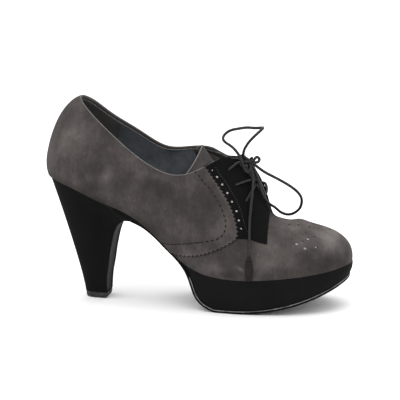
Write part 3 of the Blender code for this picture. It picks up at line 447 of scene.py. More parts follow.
def rib_splines():
    """Closed splines of each rib column: the lateral rows to the heel, then the medial rows back."""
    table = {name: np.array([row[i] for row in RIBS]) for i, name in enumerate(RIB_COLUMNS)}

    def both(lateral, medial):
        return closed_spline(np.concatenate([lateral, medial[1:-1][::-1]]))

    splines = {name: both(table[name], table[name])
               for name in ("base_x", "base_z", "low_x", "low_z", "top_x", "top_mid", "high_x", "high_z")}
    splines["base_y"] = both(-table["base_lateral"], table["base_medial"])
    splines["low_y"] = both(-table["low_out"], table["low_out"])
    splines["top_half"] = both(-table["top_half"], table["top_half"])
    splines["high_y"] = both(-table["high_out"], table["high_out"])
    splines["top_z"] = both(table["top_z"], table["top_z"] + table["medial_rise"])
    return splines


SPLINES = rib_splines()


def column(name, rib):
    """One rib column read at any place round the shoe."""
    values, bend = SPLINES[name]
    i = np.floor(rib).astype(int) % LOOP
    j = (i + 1) % LOOP
    ahead = rib - np.floor(rib)
    behind = 1 - ahead
    straight = behind * values[i] + ahead * values[j]
    return straight + ((behind**3 - behind) * bend[i] + (ahead**3 - ahead) * bend[j]) / 6


def columns(word, rib):
    """The x, y and z columns of one of the ribs' control points."""
    return np.stack([column(word + axis, rib) for axis in ("_x", "_y", "_z")], axis=-1)


def rib_point(rib, rise):
    """Point on the last's face."""
    rib, rise = np.broadcast_arrays(np.asarray(rib, float), np.asarray(rise, float))
    closed = np.minimum(rib % LOOP, LOOP - rib % LOOP) < SLIT_RIB
    half = np.where(closed, 0.0, column("top_half", rib))
    base = columns("base", rib)
    top = np.stack([column("top_x", rib), column("top_mid", rib) + half, column("top_z", rib)], axis=-1)
    low = base + columns("low", rib)
    high = top + columns("high", rib)
    up = rise[..., None]
    down = 1 - up
    return down**3 * base + 3 * down**2 * up * low + 3 * down * up**2 * high + up**3 * top


def flip(rib, medial):
    """The rib itself, or its match on the medial side."""
    return LOOP - rib if medial else rib


def unit(vectors):
    return vectors / np.linalg.norm(vectors, axis=-1, keepdims=True)


def normal(rib, rise):
    """Outward direction of the last's face; level at the feather line."""
    rib, rise = np.broadcast_arrays(np.asarray(rib, float), np.asarray(rise, float))
    small = 0.004
    along = rib_point(rib + small, rise) - rib_point(rib - small, rise)
    above = np.minimum(rise + small, 1.0)
    below = np.maximum(rise - small, 0.0)
    outward = unit(np.cross(rib_point(rib, above) - rib_point(rib, below), along))
    outward[..., 2] *= np.clip(rise / FEATHER_RISE, 0, 1)
    return unit(outward)


def surface(rib, rise, lift):
    """Point a distance lift outside the last's face."""
    return rib_point(rib, rise) + np.asarray(lift)[..., None] * normal(rib, rise)


def across(rib, way, bow=1.0):
    """Point on a line over the instep: 0 to 1 up the lateral rib, to 2 over the throat, to 3 down.

    Over the throat it arches by its bow: 1 leaves the ribs smoothly, 0 is straight.
    """
    rib, way = np.broadcast_arrays(np.asarray(rib, float), np.asarray(way, float))
    small = 0.02
    left = rib_point(rib, 1.0)
    right = rib_point(LOOP - rib, 1.0)
    reach = np.linalg.norm(right - left, axis=-1, keepdims=True) * np.asarray(bow)[..., None]
    leave = reach * unit(left - rib_point(rib, 1 - small))
    arrive = reach * unit(rib_point(LOOP - rib, 1 - small) - right)
    s = np.clip(way - 1, 0, 1)[..., None]
    bridge = ((1 + 2 * s) * (1 - s)**2 * left + s * (1 - s)**2 * leave
              + s * s * (3 - 2 * s) * right + s * s * (s - 1) * arrive)
    lateral = rib_point(rib, np.clip(way, 0, 1))
    medial = rib_point(LOOP - rib, np.clip(3 - way, 0, 1))
    side = way[..., None]
    return np.where(side < 1, lateral, np.where(side > 2, medial, bridge))


def over_instep(rib, way, lift, bow=1.0):
    """Point a distance lift outside the line over the instep."""
    small = 0.01
    sideways = across(rib, way + small) - across(rib, way - small)
    backwards = across(rib + small, way) - across(rib - small, way)
    return across(rib, way, bow) + lift * unit(np.cross(sideways, backwards))


def feather(x):
    """Height of the line where the upper meets the sole."""
    rib = np.linspace(0, HEEL_RIB, 600)
    return np.interp(x, column("base_x", rib)[::-1], column("base_z", rib)[::-1])


def rim(rib, grow):
    """Plan of the sole's edge at each rib, grown outwards."""
    small = 0.01
    plan = np.stack([column("base_x", rib), column("base_y", rib)], axis=-1)
    run = np.stack([column("base_x", rib + small) - column("base_x", rib - small),
                    column("base_y", rib + small) - column("base_y", rib - small)], axis=-1)
    side = unit(np.stack([-run[..., 1], run[..., 0]], axis=-1))
    return plan + np.asarray(grow)[..., None] * side


def ease(value, start, end):
    """Smooth step from 0 at start to 1 at end."""
    t = np.clip((value - start) / (end - start), 0, 1)
    return t * t * (3 - 2 * t)


# Meshes


def place(points):
    """Design millimetres to the frame's metres."""
    return (np.asarray(points, float) - ORIGIN) * MM


def link(name, data):
    """A new object in the scene."""
    made = bpy.data.objects.new(name, data)
    bpy.context.scene.collection.objects.link(made)
    return made


def add_mesh(name, points, faces, material, sharp=40):
    """A mesh piece from design points; it rides on the shoe."""
    mesh = bpy.data.meshes.new(name)
    mesh.from_pydata(place(points).tolist(), [], faces)
    build = bmesh.new()
    build.from_mesh(mesh)
    bmesh.ops.remove_doubles(build, verts=build.verts, dist=SAME_PLACE)
    bmesh.ops.recalc_face_normals(build, faces=build.faces)
    build.to_mesh(mesh)
    build.free()
    mesh.shade_smooth()
    mesh.set_sharp_from_angle(angle=math.radians(sharp))
    mesh.materials.append(material)
    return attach(link(name, mesh), "root")


def grid_faces(rows, cols, first=0, flipped=False):
    """Quads of a grid of points numbered row by row."""
    index = first + np.arange(rows * cols).reshape(rows, cols)
    quads = np.stack([index[:-1, :-1], index[:-1, 1:], index[1:, 1:], index[1:, :-1]], axis=-1)
    quads = quads.reshape(-1, 4)
    return (quads[:, ::-1] if flipped else quads).tolist()


def shell(name, outer, inner, material, joined=None):
    """A thin closed solid between two grids of points; rows that are joined have no wall at their end."""
    rows, cols = outer.shape[:2]
    under = rows * cols
    faces = grid_faces(rows, cols) + grid_faces(rows, cols, under, flipped=True)
    rims = []
    for i in range(rows - 1):
        rims.append((i * cols, (i + 1) * cols))
        if joined is None or not (joined[i] and joined[i + 1]):
            rims.append(((i + 1) * cols + cols - 1, i * cols + cols - 1))
    for j in range(cols - 1):
        rims.append((j + 1, j))
        rims.append(((rows - 1) * cols + j, (rows - 1) * cols + j + 1))
    faces += [(b, a, under + a, under + b) for a, b in rims]
    points = np.concatenate([outer.reshape(-1, 3), inner.reshape(-1, 3)])
    return add_mesh(name, points, faces, material)


def skin(name, rib, rise, outer, inner, material):
    """A layer of the upper between two lifts."""
    return shell(name, surface(rib, rise, outer), surface(rib, rise, inner), material)


def ridge_skin(name, rib, rise, outer, inner, material):
    """A layer of the upper whose two sides meet along the ridge ahead of the throat."""
    layers = [surface(rib, rise, outer), surface(rib, rise, inner)]
    joined = np.abs(rib[:, -1]) < SLIT_RIB
    for layer in layers:
        middle = (layer[:, -1] + layer[::-1, -1]) / 2
        layer[joined, -1] = middle[joined]
    return shell(name, layers[0], layers[1], material, joined)


def ring_faces(levels, count, first=0):
    """Quads between rings of points one after another."""
    faces = []
    for here in range(first, first + (levels - 1) * count, count):
        for j in range(count):
            k = (j + 1) % count
            faces.append((here + j, here + k, here + count + k, here + count + j))
    return faces


def rod_faces(levels, count, first=0):
    """Faces of a closed rod of rings."""
    last = first + (levels - 1) * count
    ends = [tuple(range(first + count - 1, first - 1, -1)), tuple(range(last, last + count))]
    return ring_faces(levels, count, first) + ends


def stack(name, rings, material, sharp=50):
    """A closed solid of rings one above another; both ends are capped in strips from side to side."""
    levels, count = rings.shape[:2]
    faces = ring_faces(levels, count)
    for first in (0, (levels - 1) * count):
        for i in range(count // 2 - 1):
            strip = (first + i, first + i + 1, first + count - 2 - i, first + count - 1 - i)
            faces.append(tuple(dict.fromkeys(strip)))
    return add_mesh(name, rings.reshape(-1, 3), faces, material, sharp)


def tube_parts(path, radius, sides, braid):
    """Points and faces of a round cord with rounded ends and a braid's relief."""
    run = unit(np.gradient(path, axis=0))
    side = np.zeros_like(path)
    side[0] = unit(np.cross(run[0], CORD_SIDEWAYS))
    for i in range(1, len(path)):
        side[i] = unit(side[i - 1] - run[i] * (side[i - 1] @ run[i]))
    other = np.cross(run, side)
    walked = walk(path)
    left = np.minimum(walked, walked[-1] - walked)
    ends = np.sqrt(np.clip(left / (CORD_END * radius), CORD_END_LEAST, 1))
    turn = np.arange(sides) * 2 * math.pi / sides
    twist = walked[:, None] * BRAID_TURN
    weave = np.cos(BRAID_STRANDS * turn + twist) * np.cos(BRAID_STRANDS * turn - twist)
    reach = (radius * ends)[:, None] * (1 + braid * weave)
    points = (path[:, None] + (reach * np.cos(turn))[..., None] * side[:, None]
              + (reach * np.sin(turn))[..., None] * other[:, None])
    return points.reshape(-1, 3), rod_faces(len(path), sides)


def bead(name, path, radius, material, step=BEAD_STEP):
    """A smooth round bead along a dense path in design millimetres."""
    points, faces = tube_parts(even_points(path, step), radius, BEAD_SIDES, 0.0)
    return add_mesh(name, points, faces, material, 60)


def cord_piece(name, paths):
    """Waxed cord along one or more paths, as one piece."""
    points = np.zeros((0, 3))
    faces = []
    for path in paths:
        made, sides = tube_parts(path, LACE_RADIUS, CORD_SIDES, BRAID)
        faces += [tuple(len(points) + i for i in face) for face in sides]
        points = np.concatenate([points, made])
    return add_mesh(name, points, faces, CORD_PAINTED_GLINTS, 60)


def add_rod(points, faces, run, rings, sides):
    """Add a straight round rod to a mesh's points and faces; each ring is a centre and a radius."""
    side = unit(np.cross(run, ROD_SIDEWAYS))
    other = np.cross(run, side)
    turn = np.arange(sides) * 2 * math.pi / sides
    faces += rod_faces(len(rings), sides, len(points))
    for centre, radius in rings:
        points += [centre + radius * (math.cos(a) * side + math.sin(a) * other) for a in turn]


def punch(piece, spots):
    """Round holes cut through a piece; each spot is a start, an end and a radius."""
    points = []
    faces = []
    for start, end, radius in spots:
        add_rod(points, faces, unit(end - start), ((start, radius), (end, radius)), PIN_SIDES)
    mesh = bpy.data.meshes.new("pins")
    mesh.from_pydata(place(points).tolist(), [], faces)
    cutter = link("pins", mesh)
    change = piece.modifiers.new("holes", "BOOLEAN")
    change.operation = "DIFFERENCE"
    change.object = cutter
    bpy.context.view_layer.update()
    evaluated = piece.evaluated_get(bpy.context.evaluated_depsgraph_get())
    cut = bpy.data.meshes.new_from_object(evaluated)
    piece.modifiers.clear()
    piece.data = cut
    bpy.data.objects.remove(cutter, do_unlink=True)


def stitches(name, path, material, pitch, length, radius):
    """A row of thread stitches along a dense path in design millimetres."""
    places = even_points(path, pitch)
    points = []
    faces = []
    for middle, run in zip(places, unit(np.gradient(places, axis=0))):
        rings = [(middle + along * length * run, wide * radius) for along, wide in STITCH_RINGS]
        add_rod(points, faces, run, rings, STITCH_SIDES)
    return add_mesh(name, np.array(points), faces, material, 80)


# Materials


def set_inputs(node, values):
    """Constant values of a node's own sockets."""
    for name, value in values.items():
        node.inputs[name].default_value = value


def new_material(name, roughness, specular):
    """An empty Principled material, its node tree and its shader."""
    made = bpy.data.materials.new(name)
    made.use_nodes = True
    shader = made.node_tree.nodes["Principled BSDF"]
    set_inputs(shader, {"Roughness": roughness, "Specular IOR Level": specular})
    return made, made.node_tree, shader


def noise(tree, scale, detail, rough, stretch=(1, 1, 1)):
    """Noise in the shoe's own coordinates; scale is in cycles a metre."""
    where = tree.nodes.new("ShaderNodeTexCoord")
    mapping = tree.nodes.new("ShaderNodeMapping")
    set_inputs(mapping, {"Scale": stretch})
    made = tree.nodes.new("ShaderNodeTexNoise")
    set_inputs(made, {"Scale": scale, "Detail": detail, "Roughness": rough})
    tree.links.new(where.outputs["Object"], mapping.inputs["Vector"])
    tree.links.new(mapping.outputs["Vector"], made.inputs["Vector"])
    return made.outputs["Fac"]


def ramp(tree, value, stops):
    """A colour ramp over a value; stops are position and linear colour."""
    made = tree.nodes.new("ShaderNodeValToRGB")
    band = made.color_ramp
    while len(band.elements) < len(stops):
        band.elements.new(0.5)
    for element, (position, colour) in zip(band.elements, stops):
        element.position = position
        element.color = (*colour, 1.0)
    tree.links.new(value, made.inputs["Fac"])
    return made.outputs["Color"]


def sway(tree, base, wave, share):
    """A base value moved up and down by a wave between 0 and 1."""
    made = tree.nodes.new("ShaderNodeMath")
    made.operation = "MULTIPLY_ADD"
    tree.links.new(wave, made.inputs[0])
    made.inputs[1].default_value = share
    tree.links.new(base, made.inputs[2])
    level = tree.nodes.new("ShaderNodeMath")
    level.operation = "SUBTRACT"
    tree.links.new(made.outputs["Value"], level.inputs[0])
    level.inputs[1].default_value = share / 2
    return level.outputs["Value"]


def add_bump(tree, shader, height, distance, strength, base=None):
    """Bump from a height, on top of the base's bump if there is one."""
    made = tree.nodes.new("ShaderNodeBump")
    set_inputs(made, {"Strength": strength, "Distance": distance})
    tree.links.new(height, made.inputs["Height"])
    if base is not None:
        tree.links.new(base, made.inputs["Normal"])
    tree.links.new(made.outputs["Normal"], shader.inputs["Normal"])
    return made.outputs["Normal"]


def suede(name, stops, sheen, nap=0.5, mottle=1.0):
    """Suede: a piece's own tone with cloudy, brushed nap over it, and a short pile."""
    made, tree, shader = new_material(name, 0.97, 0.08)
    own = tree.nodes.new("ShaderNodeAttribute")
    own.attribute_name = "tone"
    shade = own.outputs["Fac"]
    for *cloud, share in CLOUDS:
        shade = sway(tree, shade, noise(tree, *cloud), share * mottle)
    shade = sway(tree, shade, noise(tree, *PILE[:-1]), PILE[-1])
    tree.links.new(ramp(tree, shade, stops), shader.inputs["Base Color"])
    soft = add_bump(tree, shader, noise(tree, 260, 3, 0.5), 0.0006, 0.22)
    add_bump(tree, shader, noise(tree, 2600, 3, 0.75), 0.00025, nap, soft)
    set_inputs(shader, {"Sheen Weight": sheen, "Sheen Roughness": 0.45, "Sheen Tint": SHEEN_TINT})
    return made


def leather(name, dark, light, roughness, grain=900, strength=0.2, patches=60, specular=0.4):
    """Smooth leather, paint or plastic: faint pores and a soft variation of tone."""
    made, tree, shader = new_material(name, roughness, specular)
    shade = ramp(tree, noise(tree, patches, 5, 0.65), ((0.35, dark), (0.65, light)))
    tree.links.new(shade, shader.inputs["Base Color"])
    cells = tree.nodes.new("ShaderNodeTexVoronoi")
    set_inputs(cells, {"Scale": grain})
    where = tree.nodes.new("ShaderNodeTexCoord")
    tree.links.new(where.outputs["Object"], cells.inputs["Vector"])
    soft = add_bump(tree, shader, noise(tree, 140, 3, 0.5), 0.0005, 0.15)
    add_bump(tree, shader, cells.outputs["Distance"], 0.00012, strength, soft)
    return made


def grey(level, warm=0.0):
    """A nearly neutral grey."""
    return (level * (1 + warm), level, level * (1 - 0.3 * warm))


def greys(*rows):
    """Ramp stops of nearly neutral greys: position, level and warmth."""
    return [(at, grey(level, warm)) for at, level, warm in rows]


GREY = suede("grey_suede", greys((0.0, 0.010, 0.13), (0.3, 0.021, 0.15), (0.5, 0.036, 0.15),
                                 (0.72, 0.066, 0.14), (1.0, 0.135, 0.12)), 0.06)
BLACK = suede("black_suede", greys((0.0, 0.002, 0.0), (0.5, 0.0036, 0.0), (1.0, 0.008, 0.0)), 0.01,
              nap=0.35, mottle=0.6)
GRIP = suede("heel_grip", greys((0.0, 0.020, 0.05), (0.5, 0.036, 0.06), (1.0, 0.07, 0.05)), 0.04)
# Smooth materials: dark and light tone, roughness, pores a metre, their depth, patches a metre, gloss
LINING = leather("lining", (0.030, 0.035, 0.040), (0.066, 0.073, 0.080), 0.5)
RAW = leather("raw_leather", grey(0.35, 0.04), grey(0.5, 0.03), 0.8)
TOE_RAW = leather("toe_layer", grey(0.25, 0.05), grey(0.40, 0.05), 0.8)
EDGE = leather("edge_paint", grey(0.06, 0.07), grey(0.11, 0.07), 0.6, 1500, 0.3, 400)
# Light grey of the welt bead: a painted highlight along the outsole's top edge
WELT_HIGHLIGHT = leather("welt_highlight", grey(0.04), grey(0.20), 0.5, 1200, 0.2, 160)
SOLE_EDGE = leather("sole_edge", grey(0.0022), grey(0.0042), 0.85, 500, 0.1, 60, 0.08)
WORN = leather("worn_top_piece", grey(0.006), grey(0.045), 0.7, 600, 0.5, 240, 0.2)
BREAST = leather("breast_leather", grey(0.004), grey(0.009), 0.7, 700, 0.12, 90, 0.12)
# Waxed cord: dark, with fine light flecks that are painted glints along its twist
CORD_PAINTED_GLINTS = leather("waxed_cord_painted_glints", grey(0.0012), grey(0.022), 0.4, 2600, 0.5, 1300, 0.2)
BARREL = leather("barrel", grey(0.0045, 0.2), grey(0.011, 0.3), 0.6, 1200, 0.3, 500, 0.15)
# Thread of the facing's stitches, also used for the painted highlight down the heel breast's edge
THREAD_AND_HIGHLIGHT = leather("thread_and_highlight", grey(0.03), grey(0.07), 0.8)
# Dark colour for painted shadow under the trim's teeth and along the panel's edge
SHADOW_PAINT = leather("painted_shadow", grey(0.006, 0.2), grey(0.014, 0.2), 0.9, 900, 0.2, 60, 0.1)


# Upper


def edge_line(table, count):
    """Ribs and rises evenly spaced along an edge that the table gives, and its length."""
    rise = np.linspace(0, 1, 2000)
    rib = table_curve(table, rise)
    run = walk(rib_point(rib, rise))
    at = np.linspace(0, run[-1], count)
    return np.interp(at, run, rib), np.interp(at, run, rise), run[-1]


def teeth(count, length):
    """Zigzag from 0 to 1 along an edge of that length."""
    phase = np.linspace(0, length, count) / TOOTH_PITCH
    return 1 - np.abs(2 * (phase % 1) - 1)


def creases(points):
    """Main creases and swellings, and a worn upper's slow unevenness."""
    x, y, z = points[..., 0], points[..., 1], points[..., 2]
    waves = np.sin(x / 9.0 + z / 13.0) + np.sin(x / 17.0 - y / 8.0 + 1.3) + np.sin(z / 7.0 + y / 15.0)
    height = UNEVEN * waves
    for cx, cy, cz, tilt, turn, long, wide, tall in CREASES:
        tilt = math.radians(tilt)
        turn = math.radians(turn)
        level = math.cos(turn)
        along = unit(np.array((math.cos(tilt) * level, math.sin(turn), math.sin(tilt) * level)))
        away = points - np.array((cx, cy, cz))
        run = away @ along
        off = np.linalg.norm(away - run[..., None] * along, axis=-1)
        height = height + tall * np.exp(-(run / long)**2 - (off / wide)**2)
    return np.clip(height, *CREASE_LIMITS)


def sag_of(rib, rise):
    """Creases of the upper, which fade towards the feather line."""
    return creases(rib_point(rib, rise)) * ease(rise, 0.0, CREASE_FOOT)


def tone(points):
    """Shade of the worn suede: the plain tone with the listed light and dark patches."""
    x, z = points[..., 0], points[..., 2]
    shade = PLAIN_TONE + 0 * x
    for cx, cz, wide, tall, tilt, gain in PATCHES:
        lean = math.radians(tilt)
        run = (x - cx) * math.cos(lean) + (z - cz) * math.sin(lean)
        off = (z - cz) * math.cos(lean) - (x - cx) * math.sin(lean)
        shade = shade + gain * np.exp(-(run / wide)**2 - (off / tall)**2)
    return shade


def paint(piece, shade=None, line=None, gain=0.0, width=1.0):
    """Give a suede piece its tone: one shade, or the patches, with painted highlight or painted shade along
    a line.
    """
    mesh = piece.data
    places = np.zeros(3 * len(mesh.vertices))
    mesh.vertices.foreach_get("co", places)
    points = places.reshape(-1, 3) / MM + ORIGIN
    values = tone(points) if shade is None else np.full(len(points), shade)
    if line is not None:
        away = np.full(len(points), np.inf)
        for spot in even_points(line, 1.0):
            away = np.minimum(away, np.linalg.norm(points - spot, axis=1))
        values = values + gain * np.exp(-(away / width)**2)
    made = mesh.attributes.new("tone", "FLOAT", "POINT")
    made.data.foreach_set("value", np.clip(values, 0, 1).astype(np.float32))


def eyelet_pins():
    """Pins through the eyelets, square to the facing."""
    spots = []
    for rib, rise in EYELETS:
        for side in (rib, LOOP - rib):
            start = surface(side, rise, -EYELET_REACH)
            spots.append((start, surface(side, rise, EYELET_REACH), EYELET_RADIUS))
    return spots


def make_vamp():
    """The front of the upper: one skin over the toe, open at the throat, with a light layer in its holes."""
    rise = np.linspace(0, 1, 111)
    rib = np.linspace(-1, 1, 361)[:, None] * (table_curve(TRIM_EDGE, rise) + VAMP_LAP)
    sag = sag_of(rib, rise)
    vamp = ridge_skin("vamp", rib, rise, sag, VAMP_INNER + sag, GREY)
    spots = []
    for x, y, z, radius in MEDALLION:
        for side in (y, 2 * TOE_MIDDLE - y) if y < MEDALLION_MIDDLE else (y,):
            spot = np.array((x, side, z))
            lean = unit(np.array((HOLE_LEAN, side / HOLE_FAN, 1.0)))
            spots.append((spot - HOLE_DEPTH * lean, spot + HOLE_TOP * lean, radius))
    punch(vamp, spots + eyelet_pins())
    paint(vamp)
    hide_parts("upper")
    rise = np.linspace(TOE_LAYER_RISE, 1, 50)
    rib = np.linspace(-TOE_LAYER_RIB, TOE_LAYER_RIB, 141)[:, None] + 0 * rise
    sag = np.maximum(creases(rib_point(rib, rise)), TOE_LAYER_SAG)
    layer = ridge_skin("toe_underlay", rib, rise, sag + TOE_LAYER_OUTER, sag + TOE_LAYER_INNER, TOE_RAW)


def rim_drop(rib, drop):
    """Rise at a distance below the top edge, and 1 ahead of the throat."""
    step = 0.03
    tall = np.linalg.norm(rib_point(rib, 1.0) - rib_point(rib, 1 - step), axis=-1)
    back = np.minimum(rib % LOOP, LOOP - rib % LOOP)
    return 1 - step * drop / tall * ease(back, *COLLAR_RIBS)


def make_lining():
    """The lining, which stops a little below the collar's edge, and the binding above it, whose dark tone is
    painted shade.
    """
    rib = np.linspace(-HEEL_RIB, HEEL_RIB, 341)
    rise = rim_drop(rib, LINING_DROP)[:, None] * np.linspace(0, 1, 41)
    lining = ridge_skin("lining", rib[:, None] + 0 * rise, rise, LINING_LIFT, -WALL, LINING)
    punch(lining, eyelet_pins())
    rib = np.linspace(BINDING_RIB, LOOP - BINDING_RIB, 400)
    low = rim_drop(rib, LINING_DROP + BINDING_LAP)[:, None]
    rise = low + (1 - low) * np.linspace(0, 1, 5)
    binding = skin("binding", rib[:, None] + 0 * rise, rise, VAMP_INNER - LAP, BINDING_INNER, GRIP)
    # Dark tone of the binding: painted shade
    paint(binding, BINDING_SHADE_TONE)


def trim_band(name, medial, out, low, high, material):
    """A toothed band along the quarter's front edge; its teeth reach out a little further by out."""
    count = 520
    edge_rib, edge_rise, length = edge_line(TRIM_EDGE, count)
    line_rib, line_rise, _ = edge_line(PANEL_LINE, count)
    wide = np.linalg.norm(rib_point(line_rib, line_rise) - rib_point(edge_rib, edge_rise), axis=1)
    share = np.array(TRIM_STEPS) + 0 * wide[:, None]
    share[:, 0] = (TOOTH_DEPTH * (teeth(count, length) - TOOTH_BACK) - out) / np.maximum(wide, 3.0)
    rib = edge_rib[:, None] + (line_rib - edge_rib)[:, None] * share
    rise = np.clip(edge_rise[:, None] + (line_rise - edge_rise)[:, None] * share, 0, 1)
    # Above the facing's foot the band lies on the facing
    over_facing = (FACING_OUTER + LAP) * ease(edge_rise, 0.47, 0.52)[:, None]
    under = np.minimum(low + over_facing, TRIM_OUTER - 0.15) + 0 * share
    outer = np.maximum(high, np.minimum(under + 0.12, TRIM_OUTER - 0.05))
    outer = np.maximum(outer - TRIM_BEVEL * (1 - ease(share, -0.15, 0.12)), under + 0.06)
    return skin(name, flip(rib, medial), rise, outer, under, material)


def make_trim(word, medial):
    """The pinked band of the quarter, and a dark layer whose edge shows round its teeth as painted shadow
    under them.
    """
    trim = trim_band("quarter_trim_" + word, medial, 0.0, TRIM_INNER, TRIM_OUTER, GREY)
    # Painted highlight along the trim's toothed edge
    rib, rise, _ = edge_line(TRIM_EDGE, 400)
    paint(trim, None, surface(flip(rib, medial), rise, TRIM_OUTER), *TRIM_EDGE_HIGHLIGHT)
    # Painted shadow round the trim's teeth
    layer = trim_band("quarter_shadow_layer_" + word, medial, TRIM_SHADOW, SHADOW_LAYER_INNER, SHADOW_LAYER_OUTER, SHADOW_PAINT)


def make_panel():
    """The quarters: one panel round the heel, laid on the trim."""
    line_rib, line_rise, _ = edge_line(PANEL_LINE, 300)
    share = np.concatenate([PANEL_STEPS, np.linspace(0.115, 1, 60)])
    rib = line_rib[:, None] + (HEEL_RIB - line_rib)[:, None] * share
    rise = np.clip(line_rise[:, None] + 0 * share, 0, 1)
    gone = np.linalg.norm(rib_point(rib, rise) - rib_point(line_rib, line_rise)[:, None], axis=-1)
    # Its creases fade at its edges; it thins away from its front edge and comes down off the trim
    sag = sag_of(rib, rise) * ease(gone, 0, 8) * (1 - ease(rise, 0.9, 1.0))
    outer = PANEL_EDGE + (PANEL_OUTER - PANEL_EDGE) * ease(gone, 4, 16)
    outer = outer - BEVEL * (1 - ease(gone, -0.4, 1.0)) + sag
    inner = TRIM_OUTER + LAP + (VAMP_INNER - TRIM_OUTER) * ease(gone, 3.5, 9.0)
    rib = np.concatenate([rib, LOOP - rib[:, -2::-1]], axis=1)
    rise, outer, inner = [np.concatenate([half, half[:, -2::-1]], axis=1) for half in (rise, outer, inner)]
    outer = outer - SEAM_DEPTH * np.exp(-((rib - HEEL_RIB) / SEAM_WIDTH)**2)
    panel = skin("quarter_panel", rib, rise, outer, inner, GREY)
    # Painted shade along the seat line, darkest at the sole
    seat = np.linspace(SEAT_RIB, LOOP - SEAT_RIB, 300)
    paint(panel, None, surface(seat, 0.0, PANEL_OUTER), *SEAT_PAINTED_SHADE)


def make_panel_line(word, medial):
    """Painted shadow along the panel's edge: dark dashes at its shaded notches, and a dark line under it
    where it turns along the sole.
    """
    rise = np.linspace(0.02, 0.985, 600)
    path = surface(flip(table_curve(PANEL_LINE, rise), medial), rise, TRIM_OUTER + DASH_LIFT)
    upper = stitches("panel_shadow_dashes_" + word, path[rise > 0.26], SHADOW_PAINT, *SHADOW_DASHES)
    lower = stitches("panel_shadow_line_" + word, path[rise < 0.27], SHADOW_PAINT, *LOW_SHADOW_DASHES)


def make_topline():
    """Light edges of the suede and of the lining along the collar."""
    for name, start, lift, drop, radius in TOPLINES:
        rib = np.linspace(start, LOOP - start, 500)
        path = surface(rib, rim_drop(rib, drop), lift)
        path[:, 2] += 0.1
        line = bead(name, path, radius, EDGE, 1.0)


def make_facing_shade_strip(word, medial):
    """A dark strip on the lining behind an eyelet facing: painted shade inside the throat."""
    rise, steps = np.meshgrid(np.linspace(0.5, 0.985, 40), np.linspace(0, 1, 60))
    back = STRIP_BACK - STRIP_LEAN * (1 - rise)
    rib = STRIP_FRONT + (back - STRIP_FRONT) * steps
    strip = skin("facing_shade_strip_" + word, flip(rib, medial), rise, STRIP_OUTER, STRIP_INNER, GRIP)
    punch(strip, eyelet_pins())
    # Dark tone of the strip: painted shade
    paint(strip, STRIP_SHADE_TONE)


def make_heel_grip():
    """The suede grip inside the back of the heel."""
    rib = np.linspace(GRIP_RIB, LOOP - GRIP_RIB, 120)
    rib, rise = np.meshgrid(rib, np.linspace(0.08, 0.94, 40), indexing="ij")
    rib = rib + 0.5 * (rise - 0.8) * np.sign(HEEL_RIB - rib) * ease(np.abs(rib - HEEL_RIB), 0.5, 2.8)
    grip = skin("heel_grip", rib, rise, GRIP_OUTER, GRIP_INNER, GRIP)
    paint(grip, PLAIN_TONE)


# Facings and tongue


def pleats(rib, rise):
    """Soft gathers at the front of a facing, in millimetres."""
    height = 0 * rib
    along = ease(rise, 0.62, 0.72) * (1 - ease(rise, 0.86, 0.97))
    for centre, wide, tall in PLEATS:
        height = height + tall * np.exp(-((rib - centre - 0.5 * (rise - 0.75)) / wide)**2) * along
    return height


def facing_grid(back_drop):
    """Ribs and rises of a facing, from its front edge to under the trim, and its shares across and up."""
    steps, up = np.meshgrid(np.linspace(0, 1, 120), np.linspace(0, 1, 90))
    foot = FACING_FOOT + FACING_BOW * np.sin(math.pi * steps) - back_drop * ease(steps, 0.25, 1.0)
    rise = foot + (1 - foot) * up
    front = table_curve(FACING_FRONT, rise)
    back = table_curve(TRIM_EDGE, rise) + FACING_LAP
    return front + (back - front) * steps, rise, steps, up


def make_facing(word, medial):
    """An eyelet facing: suede with punched holes over a light strip, and a thread line."""
    name = "facing_" + word
    rib, rise, steps, up = facing_grid(0.0 if medial else FACING_BACK_DROP)
    edge = ease(steps, 0, 0.03) * ease(up, -0.01, 0.03)
    outer = FACING_OUTER - BEVEL * (1 - edge) + pleats(rib, rise)
    inner = FACING_FRONT_INNER + (FACING_INNER - FACING_FRONT_INNER) * ease(steps, 0.3, 0.5)
    facing = skin(name + "_suede", flip(rib, medial), rise, outer, inner, BLACK)
    spots = eyelet_pins()[1 if medial else 0::2]
    for hole_rib, hole_rise in FACING_HOLES:
        at = flip(hole_rib, medial)
        spots.append((surface(at, hole_rise, -0.2), surface(at, hole_rise, 2.5), FACING_HOLE_RADIUS))
    punch(facing, spots)
    paint(facing, PLAIN_TONE)
    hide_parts(name)
    dense = smooth_route(FACING_HOLES[::-1], 0.02)
    across_strip = np.array((-1, -0.5, 0, 0.5, 1))
    rib = flip(dense[:, :1] + 0.28 * across_strip, medial)
    rise = dense[:, 1:] - 0.012 * across_strip
    strip = skin("underlay_" + word, rib, rise, UNDERLAY_OUTER, UNDERLAY_INNER, RAW)
    line = smooth_route(FACING_STITCH[::-1], 0.02)
    path = surface(flip(line[:, 0], medial), line[:, 1], FACING_OUTER + 0.03)
    thread_and_highlight = stitches("facing_thread_" + word, path, THREAD_AND_HIGHLIGHT, *FACING_STITCHES)


